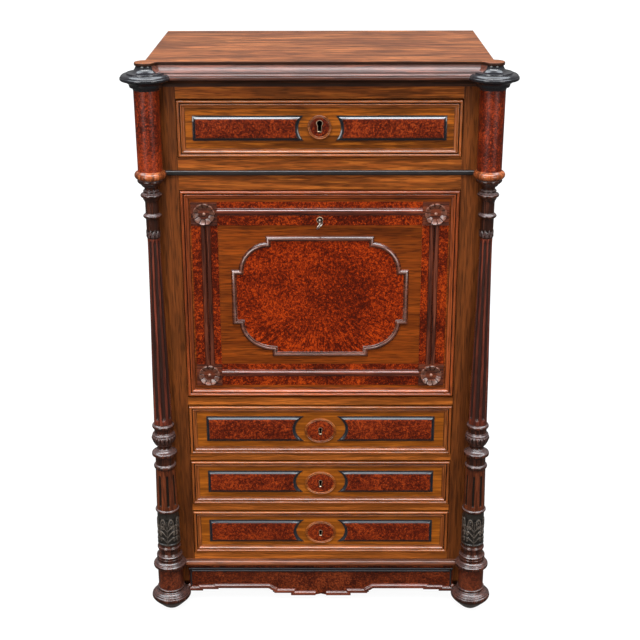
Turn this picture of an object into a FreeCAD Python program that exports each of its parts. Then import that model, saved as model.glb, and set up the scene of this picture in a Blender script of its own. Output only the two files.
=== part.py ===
# Drop-front secretary with corner columns: one frieze drawer, a fall that opens to a
# writing surface with a fitted gallery behind it, and three drawers below.
# Millimetres, +Z up, +Y towards the back, origin under the middle of the case.
import FreeCAD, Part
import math
import os

V = FreeCAD.Vector
os.makedirs("parts", exist_ok=True)

# ---------------------------------------------------------------- driving dimensions
# Lengths are drawn for a height of 1420 and every finished piece is SCALE times its drawing,
# which brings the open writing surface to 702 mm above the floor.
SCALE = 1.1
HEIGHT = 1420.0            # floor to top surface
CASE_HALF = 384.0          # half width over the case sides
CASE_DEPTH = 448.0         # front stile face to back face
COL_X = 391.0              # column axis from the middle
COL_OUT = 17.0             # column axis in front of the stile face
CAP_R = 58.5               # radius of the cap plate
OPEN_HALF = 328.5          # half width between the stiles
STILE_T = 24.0             # stile and rail thickness
SIDE_T = 22.0              # case side thickness
BACK_T = 12.0
GAP = 1.3                  # gap beside and under drawer fronts and beside the fall
TOP_GAP = 2.8              # gap over drawer fronts
FRONT_T = 20.0             # drawer front thickness
FACE = 2.0                 # ground of drawers and fall lies this far behind the stile face
MOULD_W = 19.0             # width of the drawer mouldings
# openings, bottom and top
Z_TOP_DRAWER = (1196.5, 1333.0)
Z_FALL = (590.5, 1119.5)
Z_UPPER = (431.5, 568.0)
Z_MIDDLE = (289.0, 414.5)
Z_LOWER = (147.5, 270.5)
Z_CORNICE = 1380.0
Z_TOP_UNDER = 1413.0
Z_STRING = 1160.5          # centre of the string bead at the waist
# fall
FALL_T = 24.0
FALL_Z0 = 592.5
FALL_Z1 = 1117.4
PIVOT_Y = 6.0
PIVOT_Z = 618.5
PIN_R = 4.0
PIN_FIT = 0.05
STAY_R = 160.0
KEY_Z = 1046.0
KEY_TURN = 45.0            # the key is left part turned in the lock
# drawers and gallery
DRAWER_BACK = 402.0
SMALL_FRONT = 130.0        # front of the gallery behind the stile face
DESK_TOP = 637.0

Y0 = (CAP_R + COL_OUT - CASE_DEPTH) / 2.0   # stile face in the part's frame
OH = OPEN_HALF - GAP

nodes = {}


def put(name, *shapes):
    lst = nodes.setdefault(name, [])
    for s in shapes:
        if isinstance(s, (list, tuple)):
            lst.extend(s)
        else:
            lst.append(s)


def box(x0, x1, y0, y1, z0, z1):
    return Part.makeBox(x1 - x0, y1 - y0, z1 - z0, V(x0, y0, z0))


def both(fn, *a):
    """a piece on the right and its mirror image on the left"""
    r = fn(*a)
    return [r, r.mirror(V(0, 0, 0), V(1, 0, 0))]


def mirror(s):
    return s.mirror(V(0, 0, 0), V(1, 0, 0))


def edges2d(pts, to3d, closed=True):
    """points (a, b) or (a, b, sag): sag bends the edge that ends there, to the left of its run"""
    out = []
    n = len(pts)
    rng = range(n) if closed else range(1, n)
    for i in rng:
        p, q = pts[i - 1], pts[i]
        a, b = (p[0], p[1]), (q[0], q[1])
        if abs(a[0] - b[0]) < 1e-7 and abs(a[1] - b[1]) < 1e-7:
            continue
        if len(q) > 2 and q[2]:
            dx, dz = b[0] - a[0], b[1] - a[1]
            ln = math.hypot(dx, dz)
            m = ((a[0] + b[0]) / 2 - dz / ln * q[2], (a[1] + b[1]) / 2 + dx / ln * q[2])
            out.append(Part.Arc(to3d(*a), to3d(*m), to3d(*b)).toShape())
        else:
            out.append(Part.LineSegment(to3d(*a), to3d(*b)).toShape())
    return out


def turned(prof, ax=COL_X, ay=-COL_OUT):
    """solid of revolution about a vertical axis, profile (radius, z[, sag]) from top to bottom"""
    pts = [(0.0, prof[0][1])] + list(prof) + [(0.0, prof[-1][1])]
    w = Part.Wire(edges2d(pts, lambda r, z: V(ax + r, ay, z)))
    return Part.Face(w).revolve(V(ax, ay, 0), V(0, 0, 1), 360)


def along_x(prof, x0, x1):
    """profile (y, z[, sag]) run along X"""
    w = Part.Wire(edges2d(prof, lambda y, z: V(x0, y, z)))
    return Part.Face(w).extrude(V(x1 - x0, 0, 0))


def along_y(prof, y0, y1):
    """profile (x, z[, sag]) run along Y"""
    w = Part.Wire(edges2d(prof, lambda x, z: V(x, y0, z)))
    return Part.Face(w).extrude(V(0, y1 - y0, 0))


def plate(prof, y0, y1):
    """front outline (x, z[, sag]) given a thickness from y0 to y1"""
    return along_y(prof, y0, y1)


def solids(shape):
    return [s for s in shape.Solids if s.Volume > 1.0]


def one(shape):
    """the largest solid of a cut shape"""
    return max(shape.Solids, key=lambda s: s.Volume)


def frame_mould(x0, x1, z0, z1, prof, w, y):
    """four mitred lengths round a rectangle; profile (inward, proud[, sag])"""
    out = []
    big = 60.0
    # top and bottom
    for top in (True, False):
        pr = [((y - p[1]), (z1 - p[0]) if top else (z0 + p[0]), *([p[2] * (-1 if top else 1)] if len(p) > 2 else [])) for p in prof]
        bar = along_x(pr, x0, x1)
        if top:
            trap = [(x0, z1), (x1, z1), (x1 - w, z1 - w), (x0 + w, z1 - w)]
        else:
            trap = [(x0, z0), (x1, z0), (x1 - w, z0 + w), (x0 + w, z0 + w)]
        out.append(one(bar.common(plate(trap, y - big, y + big))))
    for right in (True, False):
        pts = [((x1 - p[0]) if right else (x0 + p[0]), y - p[1], *([p[2] * (1 if right else -1)] if len(p) > 2 else [])) for p in prof]
        wire = Part.Wire(edges2d(pts, lambda a, b: V(a, b, z0)))
        bar = Part.Face(wire).extrude(V(0, 0, z1 - z0))
        if right:
            trap = [(x1, z0), (x1, z1), (x1 - w, z1 - w), (x1 - w, z0 + w)]
        else:
            trap = [(x0, z0), (x0, z1), (x0 + w, z1 - w), (x0 + w, z0 + w)]
        out.append(one(bar.common(plate(trap, y - big, y + big))))
    return out


# ---------------------------------------------------------------- corner columns (right side)
cap_prof = [(21.5, 1413.0), (21.5, 1411.5), (38.0, 1397.5, -4.0), (43.0, 1397.0), (43.0, 1394.0),
            (46.0, 1393.5), (57.0, 1387.0, 2.6), (CAP_R, 1386.0), (CAP_R, 1382.0), (55.5, 1379.5, 0.6),
            (41.0, 1372.5, -1.0), (38.5, 1371.5), (38.5, 1368.0), (37.0, 1364.0), (30.0, 1357.5, -2.0)]
drum_prof = [(29.4, 1357.5), (28.6, 1171.0)]
neck_prof = [(29.5, 1171.0), (31.0, 1169.5), (31.0, 1152.0, 6.0), (30.0, 1150.5), (30.0, 1144.5, 1.0),
             (27.0, 1141.5), (23.0, 1138.0, -0.6), (20.5, 1134.5), (16.0, 1131.5), (15.6, 1126.0),
             (17.2, 1125.0), (17.2, 1120.0, 1.9), (17.6, 1119.0), (19.4, 1117.8), (23.8, 1116.0, -0.5), (24.4, 1115.6),
             (24.4, 1109.6, 1.2), (23.2, 1108.6), (19.6, 1102.4, -1.0), (16.4, 1096.0, -0.7), (15.9, 1094.5), (15.9, 1069.6),
             (16.8, 1069.0), (20.0, 1065.8, -0.5), (20.6, 1065.4), (20.6, 1059.8, 1.2), (19.8, 1059.0), (16.4, 1055.6, -0.5),
             (15.9, 1054.8), (15.6, 1030.0), (16.3, 1028.0), (16.5, 1013.0, 0.6), (15.2, 1010.5), (15.0, 1009.0)]
shaft_prof = [(14.8, 1009.0), (15.0, 964.0), (17.2, 825.0), (20.6, 668.0), (22.6, 528.0)]
vase_prof = [(22.8, 528.0), (22.8, 526.6), (23.8, 526.0), (24.2, 515.6, 3.7), (23.0, 514.6), (22.9, 504.0), (23.7, 503.2),
             (27.0, 499.2, -0.5), (27.6, 498.8), (27.6, 497.0, 0.3), (27.0, 496.2), (27.7, 495.2), (28.6, 484.0, 2.0),
             (26.4, 478.0, 0.4), (19.4, 467.4, 0.8), (16.8, 464.6, -0.3), (16.8, 462.4), (20.4, 457.0, -0.8),
             (28.2, 450.8, -0.9), (29.4, 450.0), (31.4, 446.4, 0.6), (31.5, 443.4, 0.2), (30.6, 441.4, 0.4),
             (25.4, 437.4, -0.5), (23.6, 435.6), (23.6, 417.2), (24.4, 416.4), (24.8, 404.6, 3.8), (24.6, 404.0)]
lower_prof = [(24.6, 404.0), (26.8, 291.5)]
ring_prof = [(27.2, 291.5), (27.4, 290.8), (27.4, 282.8, 3.0), (26.6, 281.8), (26.6, 267.0)]
sleeve_prof = [(28.2, 267.0), (29.2, 191.0)]
base_prof = [(26.8, 191.0), (27.0, 187.6), (28.8, 181.8, -0.5), (29.4, 181.0), (29.6, 175.2, 0.8), (28.6, 174.2),
             (27.4, 171.2, -0.5), (27.4, 167.0), (29.2, 160.6, -0.7), (32.0, 156.4, -0.3), (32.8, 155.8), (33.0, 151.6, 0.4),
             (32.2, 150.6), (32.2, 149.4), (32.6, 145.6, 0.7), (31.6, 144.4), (31.6, 140.6), (33.0, 138.4, -0.3),
             (36.4, 136.4, -0.3), (37.0, 136.0), (37.2, 134.4), (38.4, 133.8), (40.8, 130.6, -0.3), (41.4, 130.2),
             (41.6, 123.0, 0.8), (40.4, 121.8), (35.0, 121.0)]
plinth_prof = [(32.2, 121.0), (32.0, 61.0)]
foot_prof = [(33.0, 61.0), (34.2, 60.4), (34.4, 54.8, 1.3), (33.8, 53.6), (35.6, 52.2), (41.6, 46.8, -0.6), (42.2, 46.2), (42.4, 45.2),
             (45.4, 43.2, 0.3), (46.0, 42.4), (45.8, 41.4), (47.2, 40.8), (49.6, 37.6, 0.7), (50.2, 34.6, 0.2), (49.2, 30.8, 0.4),
             (44.0, 24.0, 0.4), (35.2, 15.2, 0.3), (27.6, 7.2, 0.3), (20.4, 0.8, 0.2), (19.4, 0.0)]

corner = box(-CASE_HALF, CASE_HALF, 0.0, CASE_DEPTH, -10, HEIGHT)


def engaged(prof):
    """turned piece let in round the corner of the case"""
    t = turned(prof)
    return one(t.cut(corner)) if t.common(corner).Volume > 1.0 else t


def flutes(shape, z1, z0, r1, r0, fr1, fr0, n, deep):
    """hollow grooves round a turned length, from z1 (top) to z0"""
    tools = []
    for i in range(n):
        a = 2 * math.pi * (i + 0.5) / n + math.radians(8.5)
        p1 = V(COL_X + (r1 + deep) * math.cos(a), -COL_OUT + (r1 + deep) * math.sin(a), z1)
        p0 = V(COL_X + (r0 + deep) * math.cos(a), -COL_OUT + (r0 + deep) * math.sin(a), z0)
        ax = p1 - p0
        tools.append(Part.makeCone(fr0, fr1, ax.Length, p0, ax))
    return one(shape.cut(Part.makeCompound(tools)))


cap_full = turned(cap_prof)
col_solids = [engaged(neck_prof),
              one(flutes(turned(shaft_prof), 1001.0, 542.0, 14.85, 22.4, 4.2, 5.5, 8, 1.5).cut(corner)),
              engaged(vase_prof),
              one(flutes(turned(lower_prof), 388.0, 302.0, 24.9, 26.6, 3.4, 3.6, 8, 1.2).cut(corner)),
              engaged(ring_prof), engaged(base_prof)]
col_full = [turned(p) for p in (neck_prof, vase_prof, base_prof, plinth_prof, foot_prof, drum_prof)]
for side in ("right", "left"):
    f = (lambda s: s) if side == "right" else mirror
    put("column_cap_" + side, f(engaged(cap_prof)))
    put("column_drum_" + side, f(engaged(drum_prof)))
    put("column_" + side, [f(s) for s in col_solids])
    put("column_sleeve_" + side, f(engaged(sleeve_prof)))
    put("front_foot_" + side, f(engaged(plinth_prof)), f(turned(foot_prof)))
post = col_full + [cap_full]
posts = Part.makeCompound(post + [mirror(s) for s in post])

# ---------------------------------------------------------------- carcase
SI = CASE_HALF - SIDE_T      # inside of the case sides
Z_SIDE0, Z_SIDE1 = 100.0, 1388.0
YB = CASE_DEPTH


def side_boards():
    x0, x1 = SI, CASE_HALF
    p0, p1 = SI + 4.0, CASE_HALF - 7.0
    fs, rs = STILE_T + 62.0, YB - 76.0
    out = [box(x0, x1, STILE_T, fs, Z_SIDE0, Z_SIDE1), box(x0, x1, rs, YB, Z_SIDE0, Z_SIDE1)]
    rails = [(Z_SIDE0, 190.0), (1120.0, 1200.0), (1318.0, Z_SIDE1)]
    for a, b in rails:
        out.append(box(x0, x1, fs, rs, a, b))
    out.append(box(p0, p1, fs, rs, 190.0, 1120.0))
    out.append(box(p0, p1, fs, rs, 1200.0, 1318.0))
    return out


sb = side_boards()
put("side_right", sb)
put("side_left", [mirror(s) for s in sb])

# back: frame of two uprights, three rails and a muntin holding four thin panels
yb0 = YB - BACK_T
put("back_panel",
    box(-SI, -SI + 70, yb0, YB, 108, Z_SIDE1), box(SI - 70, SI, yb0, YB, 108, Z_SIDE1),
    box(-SI + 70, SI - 70, yb0, YB, 108, 190), box(-SI + 70, SI - 70, yb0, YB, 640, 720),
    box(-SI + 70, SI - 70, yb0, YB, 1318, Z_SIDE1),
    box(-35, 35, yb0, YB, 190, 640), box(-35, 35, yb0, YB, 720, 1318),
    *[box(a, b, yb0 + 2, YB - 4, c, d) for a, b in ((-SI + 70, -35), (35, SI - 70)) for c, d in ((190, 640), (720, 1318))])

put("carcase_boards", box(-CASE_HALF, CASE_HALF, 0, YB, Z_SIDE1, Z_TOP_UNDER),
    box(-SI, SI, STILE_T, yb0, 108.0, 126.0))

# top board with round ears over the columns
ear = Part.makeCylinder(24.5, HEIGHT - Z_TOP_UNDER, V(COL_X, -COL_OUT, Z_TOP_UNDER))
jog = Part.Face(Part.makePolygon([V(362.5, -15, Z_TOP_UNDER), V(371.5, -32.0, Z_TOP_UNDER), V(391, -17, Z_TOP_UNDER),
                                  V(391, 0, Z_TOP_UNDER), V(362.5, 0, Z_TOP_UNDER), V(362.5, -15, Z_TOP_UNDER)])).extrude(V(0, 0, HEIGHT - Z_TOP_UNDER))
top = box(-393.0, 393.0, -15.0, YB, Z_TOP_UNDER, HEIGHT)
top = top.fuse([ear, mirror(ear), jog, mirror(jog)]).removeSplitter()
put("top_board", one(top))

# cornice: rim, ovolo, fillet and cove under the top board, along the front and both sides
cor = [(0, Z_CORNICE), (31.0, Z_CORNICE), (33.0, 1382.0, -0.5), (33.0, 1387.0), (31.5, 1387.8), (27.0, 1394.2, -1.4),
       (25.5, 1394.5), (25.5, 1397.0), (14.0, 1411.5, 1.8), (14.0, Z_TOP_UNDER), (0, Z_TOP_UNDER)]
front_cor = along_x([(-p[0], p[1], *[-q for q in p[2:]]) for p in cor], -CASE_HALF, CASE_HALF)
side_cor = along_y([(CASE_HALF if p[0] == 0 else 376.0 + p[0], p[1], *p[2:]) for p in cor], 0.0, YB)
put("cornice", one(front_cor.cut(posts)), one(side_cor.cut(posts)), one(mirror(side_cor).cut(posts)))
bed = [(0, 1361.0), (3.0, 1361.0), (3.0, 1363.0), (13.0, 1378.0, 3.0), (13.0, Z_CORNICE), (0, Z_CORNICE)]
put("cornice", one(along_x([(-p[0], p[1], *[-q for q in p[2:]]) for p in bed], -366.0, 366.0).cut(posts)))

# corner stiles
for side in ("right", "left"):
    st = box(OPEN_HALF, CASE_HALF, 0, STILE_T, 111.0, Z_SIDE1)
    leg = box(346.0, CASE_HALF, 0, STILE_T, 61.0, 111.0)
    # the leg ends in a stepped tongue beside the foot
    tongue = [box(346.0, x, y, STILE_T + 10.0, z, 61.0) for x, y, z in ((350.2, 13.0, 30.0), (354.2, 18.0, 30.0), (359.2, 23.0, 30.0),
                                                                       (363.0, 26.0, 34.0), (366.0, 28.0, 34.0),
                                                                       (356.0, 13.0, 44.5), (362.0, 13.0, 49.5), (366.0, 13.0, 53.0))]
    st = st.fuse([leg] + tongue).removeSplitter()
    hole = Part.makeCylinder(PIN_R + PIN_FIT, 14.0, V(OPEN_HALF - 1, PIVOT_Y, PIVOT_Z), V(1, 0, 0))
    st = one(st.cut(hole))
    put("stile_" + side, st if side == "right" else mirror(st))

# rails between the stiles; the waist rail has a mortise for the lock bolt
waist = box(-OPEN_HALF, OPEN_HALF, 0, STILE_T, Z_FALL[1], Z_TOP_DRAWER[0])
waist = one(waist.cut(box(-17, 17, 13.0, 20.0, Z_FALL[1] - 1, Z_FALL[1] + 11.0)))
put("front_rails", box(-OPEN_HALF, OPEN_HALF, 0, STILE_T, Z_TOP_DRAWER[1], Z_SIDE1), waist,
    box(-OPEN_HALF, OPEN_HALF, 0, STILE_T, Z_UPPER[1], 588.5),
    box(-OPEN_HALF, OPEN_HALF, 0, STILE_T, Z_MIDDLE[1], Z_UPPER[0]),
    box(-OPEN_HALF, OPEN_HALF, 0, STILE_T, Z_LOWER[1], Z_MIDDLE[0]),
    box(-OPEN_HALF, OPEN_HALF, 0, STILE_T, 127.5, Z_LOWER[0]))

# string bead round the waist, running into the column collars
sr = 6.0
fs = along_x([(0, Z_STRING + sr), (0, Z_STRING - sr, -(sr - 0.4))], -CASE_HALF, CASE_HALF)
ss = along_y([(CASE_HALF, Z_STRING - sr), (CASE_HALF, Z_STRING + sr, -(sr - 0.4))], 0.0, YB)
put("waist_string", one(fs.cut(posts)), one(ss.cut(posts)), one(mirror(ss).cut(posts)))

# base moulding, running into the wide rings of the columns
bm = [(0, 110.5), (7.0, 110.5), (10.5, 121.0, -2.2), (3.0, 127.5, 1.6), (0, 127.5)]
fb = along_x([(-p[0], p[1], *[-q for q in p[2:]]) for p in bm], -CASE_HALF, CASE_HALF)
sbm = along_y([(CASE_HALF + p[0], p[1], *p[2:]) for p in bm], 0.0, YB)
put("base_moulding", one(fb.cut(posts)), one(sbm.cut(posts)), one(mirror(sbm).cut(posts)))

# apron with a shaped lower edge
AP = [(14.0, 72.0, 14.0, 31.0), (73.0, 116.5, 22.0, 37.0), (136.0, 275.0, 39.0, 50.0), (276.0, 316.0, 36.0, 48.5), (317.0, 343.0, 31.5, 45.5)]
low = [(0.0, 19.0), (14.0, 16.0), (72.5, 16.0), (72.5, 24.0), (126.5, 24.0), (126.5, 31.5), (136.0, 41.0, 1.8), (275.5, 41.0), (275.5, 38.0), (316.5, 38.0), (316.5, 33.5), (345.5, 33.5)]
outl = [(x, z, *s) for x, z, *s in low] + [(345.5, 110.5), (0.0, 110.5)]
ap_r = plate(outl, FACE, FACE + 18.0)
put("apron", one(ap_r.fuse(mirror(ap_r)).removeSplitter().cut(posts)))
beads = []


def ap_bead(x0, x1, z0, z1, proud):
    h = (z1 - z0) / 2.0
    return along_x([(FACE, z0), (FACE, z1), (FACE - proud * 0.45, z1), (FACE - proud * 0.45, z0, -(proud * 0.55))], x0, x1)


for a, b, c, d in AP:
    r = ap_bead(a, b, c, d, 6.0)
    beads += [r, mirror(r)]
ogee = plate([(136.0, 39.0), (136.0, 50.0), (117.0, 31.0, -4.0), (117.0, 22.0), (127.0, 22.0), (127.0, 30.5), (136.0, 39.0, 1.8)], FACE - 5.0, FACE)
beads += [ogee, mirror(ogee)]
beads += [ap_bead(-345.5, 345.5, 93.0, 99.0, 5.0), ap_bead(-337.0, 337.0, 87.0, 91.5, 3.5)]
vb = box(338.0, 343.0, FACE - 3.0, FACE, 46.0, 92.9)
beads += [vb, mirror(vb)]
scroll = Part.makeSphere(6.5, V(350.0, -2.5, 43.0))
scroll = one(scroll.cut(corner))
beads += [scroll, mirror(scroll)]
cut_b = []
for s in beads:
    c = s.cut(posts)
    cut_b += [max(c.Solids, key=lambda q: q.Volume)]
put("apron_beads", cut_b)

rf = Part.makeBox(66, 66, 100, V(308, 380, 0))
put("rear_feet", rf, mirror(rf))

# ---------------------------------------------------------------- desk compartment
put("desk_boards", box(-314.5, 314.5, 36.0, yb0, 617.0, DESK_TOP), *both(lambda: box(314.5, SI, 186.0, yb0, 617.0, DESK_TOP)),
    *both(lambda: box(334.5, SI, STILE_T, 186.0, 617.0, DESK_TOP)),
    box(-SI, SI, STILE_T, yb0, Z_FALL[1] + 2.0, Z_FALL[1] + 16.0),
    *both(lambda: box(334.5, SI, STILE_T, yb0, DESK_TOP, Z_FALL[1] + 2.0)))
ZC = Z_FALL[1] + 2.0
put("gallery", *both(lambda: box(303.0, 314.5, SMALL_FRONT, yb0, DESK_TOP, ZC)),
    box(-303, 303, SMALL_FRONT, yb0, 745, 754), box(-303, 303, SMALL_FRONT, yb0, 930, 939),
    *both(lambda: box(96.0, 104.0, SMALL_FRONT, yb0, DESK_TOP, 745)),
    *both(lambda: box(96.0, 104.0, SMALL_FRONT + 12, yb0, 754, 930)),
    box(-4, 4, SMALL_FRONT + 12, yb0, 939, ZC))
for side in ("right", "left"):
    f = (lambda s: s) if side == "right" else mirror
    a, b, z0, z1 = 105.2, 301.8, 638.2, 743.8
    y0, y1 = SMALL_FRONT, 400.0
    knob = Part.Face(Part.Wire(edges2d([(0, y0 - 19.5), (6.5, y0 - 19.0, 0.4), (9.0, y0 - 15.0, 0.8), (6.0, y0 - 9.0, 0.9), (3.4, y0 - 6.0, -0.3), (4.5, y0, -0.4), (0, y0)],
                                       lambda r, y: V(203.5 + r, y, 691.0)))).revolve(V(203.5, 0, 691.0), V(0, 1, 0), 360)
    put("small_drawer_" + side,
        *[f(s) for s in (box(a, b, y0, y0 + 11, z0, z1), box(a + 1, a + 7, y0 + 11, y1, z0 + 1, z1 - 6), box(b - 7, b - 1, y0 + 11, y1, z0 + 1, z1 - 6),
                         box(a + 7, b - 7, y1 - 6, y1, z0 + 1, z1 - 6), box(a + 7, b - 7, y0 + 11, y1 - 6, z0 + 3, z0 + 7), knob)])

# ---------------------------------------------------------------- drawers
mould = [(0, 0), (0, 6.5), (6.4, 6.5, 3.0), (7.4, 5.2), (8.4, 5.6), (14.0, 4.2, 0.9), (MOULD_W, 0.8, -0.6), (MOULD_W, 0)]


def keyhole(cx, cz, r, w, h, y0, y1):
    c = Part.makeCylinder(r, y1 - y0, V(cx, y0, cz), V(0, 1, 0))
    return c.fuse(box(cx - w / 2, cx + w / 2, y0, y1, cz - h, cz))


def raised_panel(outline_fn, y, bevel, rise):
    """black bevelled border and burr field; outline_fn(inset) gives the outline"""
    def face(inset, yy):
        return Part.Wire(edges2d(outline_fn(inset), lambda x, z: V(x, yy, z)))
    w0 = face(0.0, y)
    w1 = face(bevel, y - rise)
    body = Part.makeLoft([w0, w1], True, True)
    field = Part.Face(face(bevel + 0.0, y)).extrude(V(0, -rise - 1.2, 0))
    border = one(body.cut(field))
    return one(field), border


def drawer(name, z0, z1, fr, rz, rx, rr, arc, key):
    """fr: frame left, right, bottom, top; rz: roundel centre; rx, rr: half width, half height of the roundel"""
    f0, f1 = z0 + GAP, z1 - TOP_GAP
    front = box(-OH, OH, FACE, FACE + FRONT_T, f0, f1)
    kh = keyhole(0, rz + key[3], key[0], key[1], key[2], FACE - 20, FACE + FRONT_T + 1)
    front = one(front.cut(kh))
    put(name + "_front", front, frame_mould(-OH, OH, f0, f1, mould, MOULD_W, FACE))
    # box of separate boards
    xs0, xs1, yb1 = 310.0, 321.0, DRAWER_BACK
    zt = f1 - 16.0
    put(name + "_box", *both(lambda: box(xs0, xs1, FACE + FRONT_T, yb1, z0 + 1.0, zt)),
        box(-xs0, xs0, yb1 - 11, yb1, z0 + 1.0, zt), box(-xs0, xs0, FACE + FRONT_T, yb1 - 11, z0 + 7.0, z0 + 14.0))
    # raised burr panels, concave towards the roundel
    xa, xb, za, zb = fr

    def outl(inset, sgn=1):
        x_out, zl, zh = xb - inset, za + inset, zb - inset
        ax, az = arc[0] + inset, arc[1] + inset
        zc = (za + zb) / 2.0
        tip = ax * math.sqrt(max(0.0, 1 - ((zh - zc) / az) ** 2))
        # arc through the tips and the middle of the hollow
        dx = ax - tip
        return [(x_out, zl), (x_out, zh), (tip, zh), (tip, zl, dx)]

    field, border = raised_panel(outl, FACE, 7.0, 6.0)
    put(name + "_panels", field, mirror(field), border, mirror(border))
    # roundel: turned ring, burr disc, lined keyhole; lock case behind the front
    def ell(a, b, y0, y1, cz=rz):
        if abs(a - b) < 0.01:
            return Part.makeCylinder(a, y1 - y0, V(0, y0, cz), V(0, 1, 0))
        e = Part.Ellipse(V(0, y0, cz), max(a, b), min(a, b)).toShape()
        e.rotate(V(0, y0, cz), V(1, 0, 0), 90)
        return Part.Face(Part.Wire(e)).extrude(V(0, y1 - y0, 0))
    ring = ell(rx, rr, FACE - 6.0, FACE).cut(ell(rx - 6.0, rr - 6.0, FACE - 20, FACE + 1))
    disc = ell(rx - 6.0, rr - 6.0, FACE - 3.5, FACE).cut(keyhole(0, rz + key[3], key[0] + 1.6, key[1] + 3.2, key[2] + 1.6, FACE - 20, FACE + 1))
    esc = keyhole(0, rz + key[3], key[0] + 1.6, key[1] + 3.2, key[2] + 1.6, FACE - 4.5, FACE).cut(kh)
    case = box(-32, 32, FACE + FRONT_T, FACE + FRONT_T + 12, rz - 24, min(rz + 30, zt - 2))
    put(name + "_lock", one(ring), one(disc), one(esc), case)
    # runners and guides under and beside the box
    put("drawer_runners", *both(lambda: box(306.0, SI, STILE_T, yb0, z0 - 15.0, z0 + 0.4)),
        *both(lambda: box(322.6, SI, STILE_T, yb0, z0 + 0.4, z0 + 22.0)))


drawer("drawer_top", *Z_TOP_DRAWER, (-292, 292, 1236.0, 1294.0), 1267.0, 28.0, 28.0, (49.0, 44.5), (6.2, 7.6, 18.5, 9.5))
drawer("drawer_upper", *Z_UPPER, (-285, 285, 468.0, 536.0), 497.0, 39.5, 34.0, (62.5, 45.5), (3.8, 4.6, 12.0, 4.0))
drawer("drawer_middle", *Z_MIDDLE, (-286, 286, 323.0, 383.5), 349.0, 39.5, 32.5, (62.5, 43.0), (3.8, 4.6, 12.0, 4.0))
drawer("drawer_lower", *Z_LOWER, (-287, 287, 178.0, 241.5), 206.0, 39.5, 32.5, (62.5, 43.5), (3.8, 4.6, 10.0, 2.0))

# ---------------------------------------------------------------- fall
FY = FACE
fall = box(-OH, OH, FY, FY + FALL_T, FALL_Z0, FALL_Z1)
cham = along_x([(FY + FALL_T + 1, FALL_Z0 - 1), (FY + FALL_T + 1, FALL_Z0 + 9.0), (FY + FALL_T - 9.0, FALL_Z0 - 1)], -OH - 1, OH + 1)
fall = fall.cut(cham)
lock_box = box(-36, 36, 9.0, 22.0, 1030.0, FALL_Z1 + 1)
key_hole = Part.makeCylinder(3.3, 60, V(0, -30, KEY_Z), V(0, 1, 0))
fall = fall.cut([lock_box, Part.makeCylinder(3.3, 20, V(0, -5, KEY_Z), V(0, 1, 0))])
pin_bore = Part.makeCylinder(PIN_R, 20, V(OH - 18, PIVOT_Y, PIVOT_Z), V(1, 0, 0))
plate_rec = box(OH - 2.0, OH + 1, FY, FY + 18.0, FALL_Z0 + 4, FALL_Z0 + 64)
for t in (pin_bore, plate_rec):
    fall = fall.cut([t, mirror(t)])
put("fall_board", one(fall))
fmould = [(0, 0), (0, 6.5), (6.6, 6.5, 3.0), (7.6, 5.0), (8.6, 5.4), (14.5, 4.0, 0.9), (20.0, 0.8, -0.6), (20.0, 0)]
put("fall_moulding", frame_mould(-OH, OH, FALL_Z0 + 0.8, FALL_Z1, fmould, 20.0, FY))
# burr bands between the corner blocks
BX0, BX1 = 241.5, 303.5
ZT0, ZT1, ZB0, ZB1 = 1033.0, 1090.0, 622.0, 678.0
hole_e = Part.makeCylinder(8.0, 20, V(0, -10, KEY_Z), V(0, 1, 0))
put("fall_bands", one(box(-BX0, BX0, FY - 1.0, FY, ZT0, ZT1).cut(hole_e)), box(-BX0, BX0, FY - 1.0, FY, ZB0, ZB1),
    *both(lambda: box(BX0, BX1, FY - 1.0, FY, ZB1, ZT0)))
# reeded strips on the bands
ZTS, ZBS = 1066.0, 654.0


def reed_x(zc, w, h, x0, x1):
    return along_x([(FY - 1.0, zc - w / 2), (FY - 1.0, zc + w / 2), (FY - 2.0, zc + w / 2), (FY - 2.0, zc - w / 2, -(h - 1.0))], x0, x1)


def reed_z(xc, w, h, z0, z1):
    wire = Part.Wire(edges2d([(xc - w / 2, FY - 1.0), (xc + w / 2, FY - 1.0), (xc + w / 2, FY - 2.0), (xc - w / 2, FY - 2.0, h - 1.0)], lambda x, y: V(x, y, z0)))
    return Part.Face(wire).extrude(V(0, 0, z1 - z0))


put("fall_moulding", reed_x(ZTS, 13.0, 5.5, -BX0, BX0), reed_x(ZBS, 12.0, 5.5, -BX0, BX0),
    *both(lambda: reed_z(264.2, 11.6, 5.0, ZB1, ZT0)), *both(lambda: reed_z(276.2, 11.6, 5.0, ZB1, ZT0)))


def rosette(cx, z0, z1):
    zc = (z0 + z1) / 2.0
    hw = (BX1 - BX0) / 2.0
    base = Part.makeLoft([Part.Wire(Part.makePolygon([V(cx - a, y, zc - b), V(cx + a, y, zc - b), V(cx + a, y, zc + b), V(cx - a, y, zc + b), V(cx - a, y, zc - b)]))
                          for a, b, y in ((hw, (z1 - z0) / 2, FY), (hw, (z1 - z0) / 2, FY - 4.0), (hw - 3.0, (z1 - z0) / 2 - 3.0, FY - 6.0))], True, True)
    parts = []
    for i in range(8):
        a = 2 * math.pi * (i + 0.5) / 8
        parts.append(Part.makeSphere(7.6, V(cx + 15.2 * math.cos(a), FY - 4.5, zc + 15.2 * math.sin(a))))
    parts.append(Part.makeSphere(7.0, V(cx, FY - 6.5, zc)))
    parts.append(Part.makeCylinder(15.0, 4.0, V(cx, FY - 9.0, zc), V(0, 1, 0)))
    keep = box(cx - 40, cx + 40, FY - 30, FY - 5.0, zc - 40, zc + 40)
    flower = parts[0].fuse(parts[1:]).common(keep)
    return one(base.fuse(flower).removeSplitter())


put("fall_rosettes", *both(lambda: rosette((BX0 + BX1) / 2, ZT0, ZT1)), *both(lambda: rosette((BX0 + BX1) / 2, ZB0, ZB1)))
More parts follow.
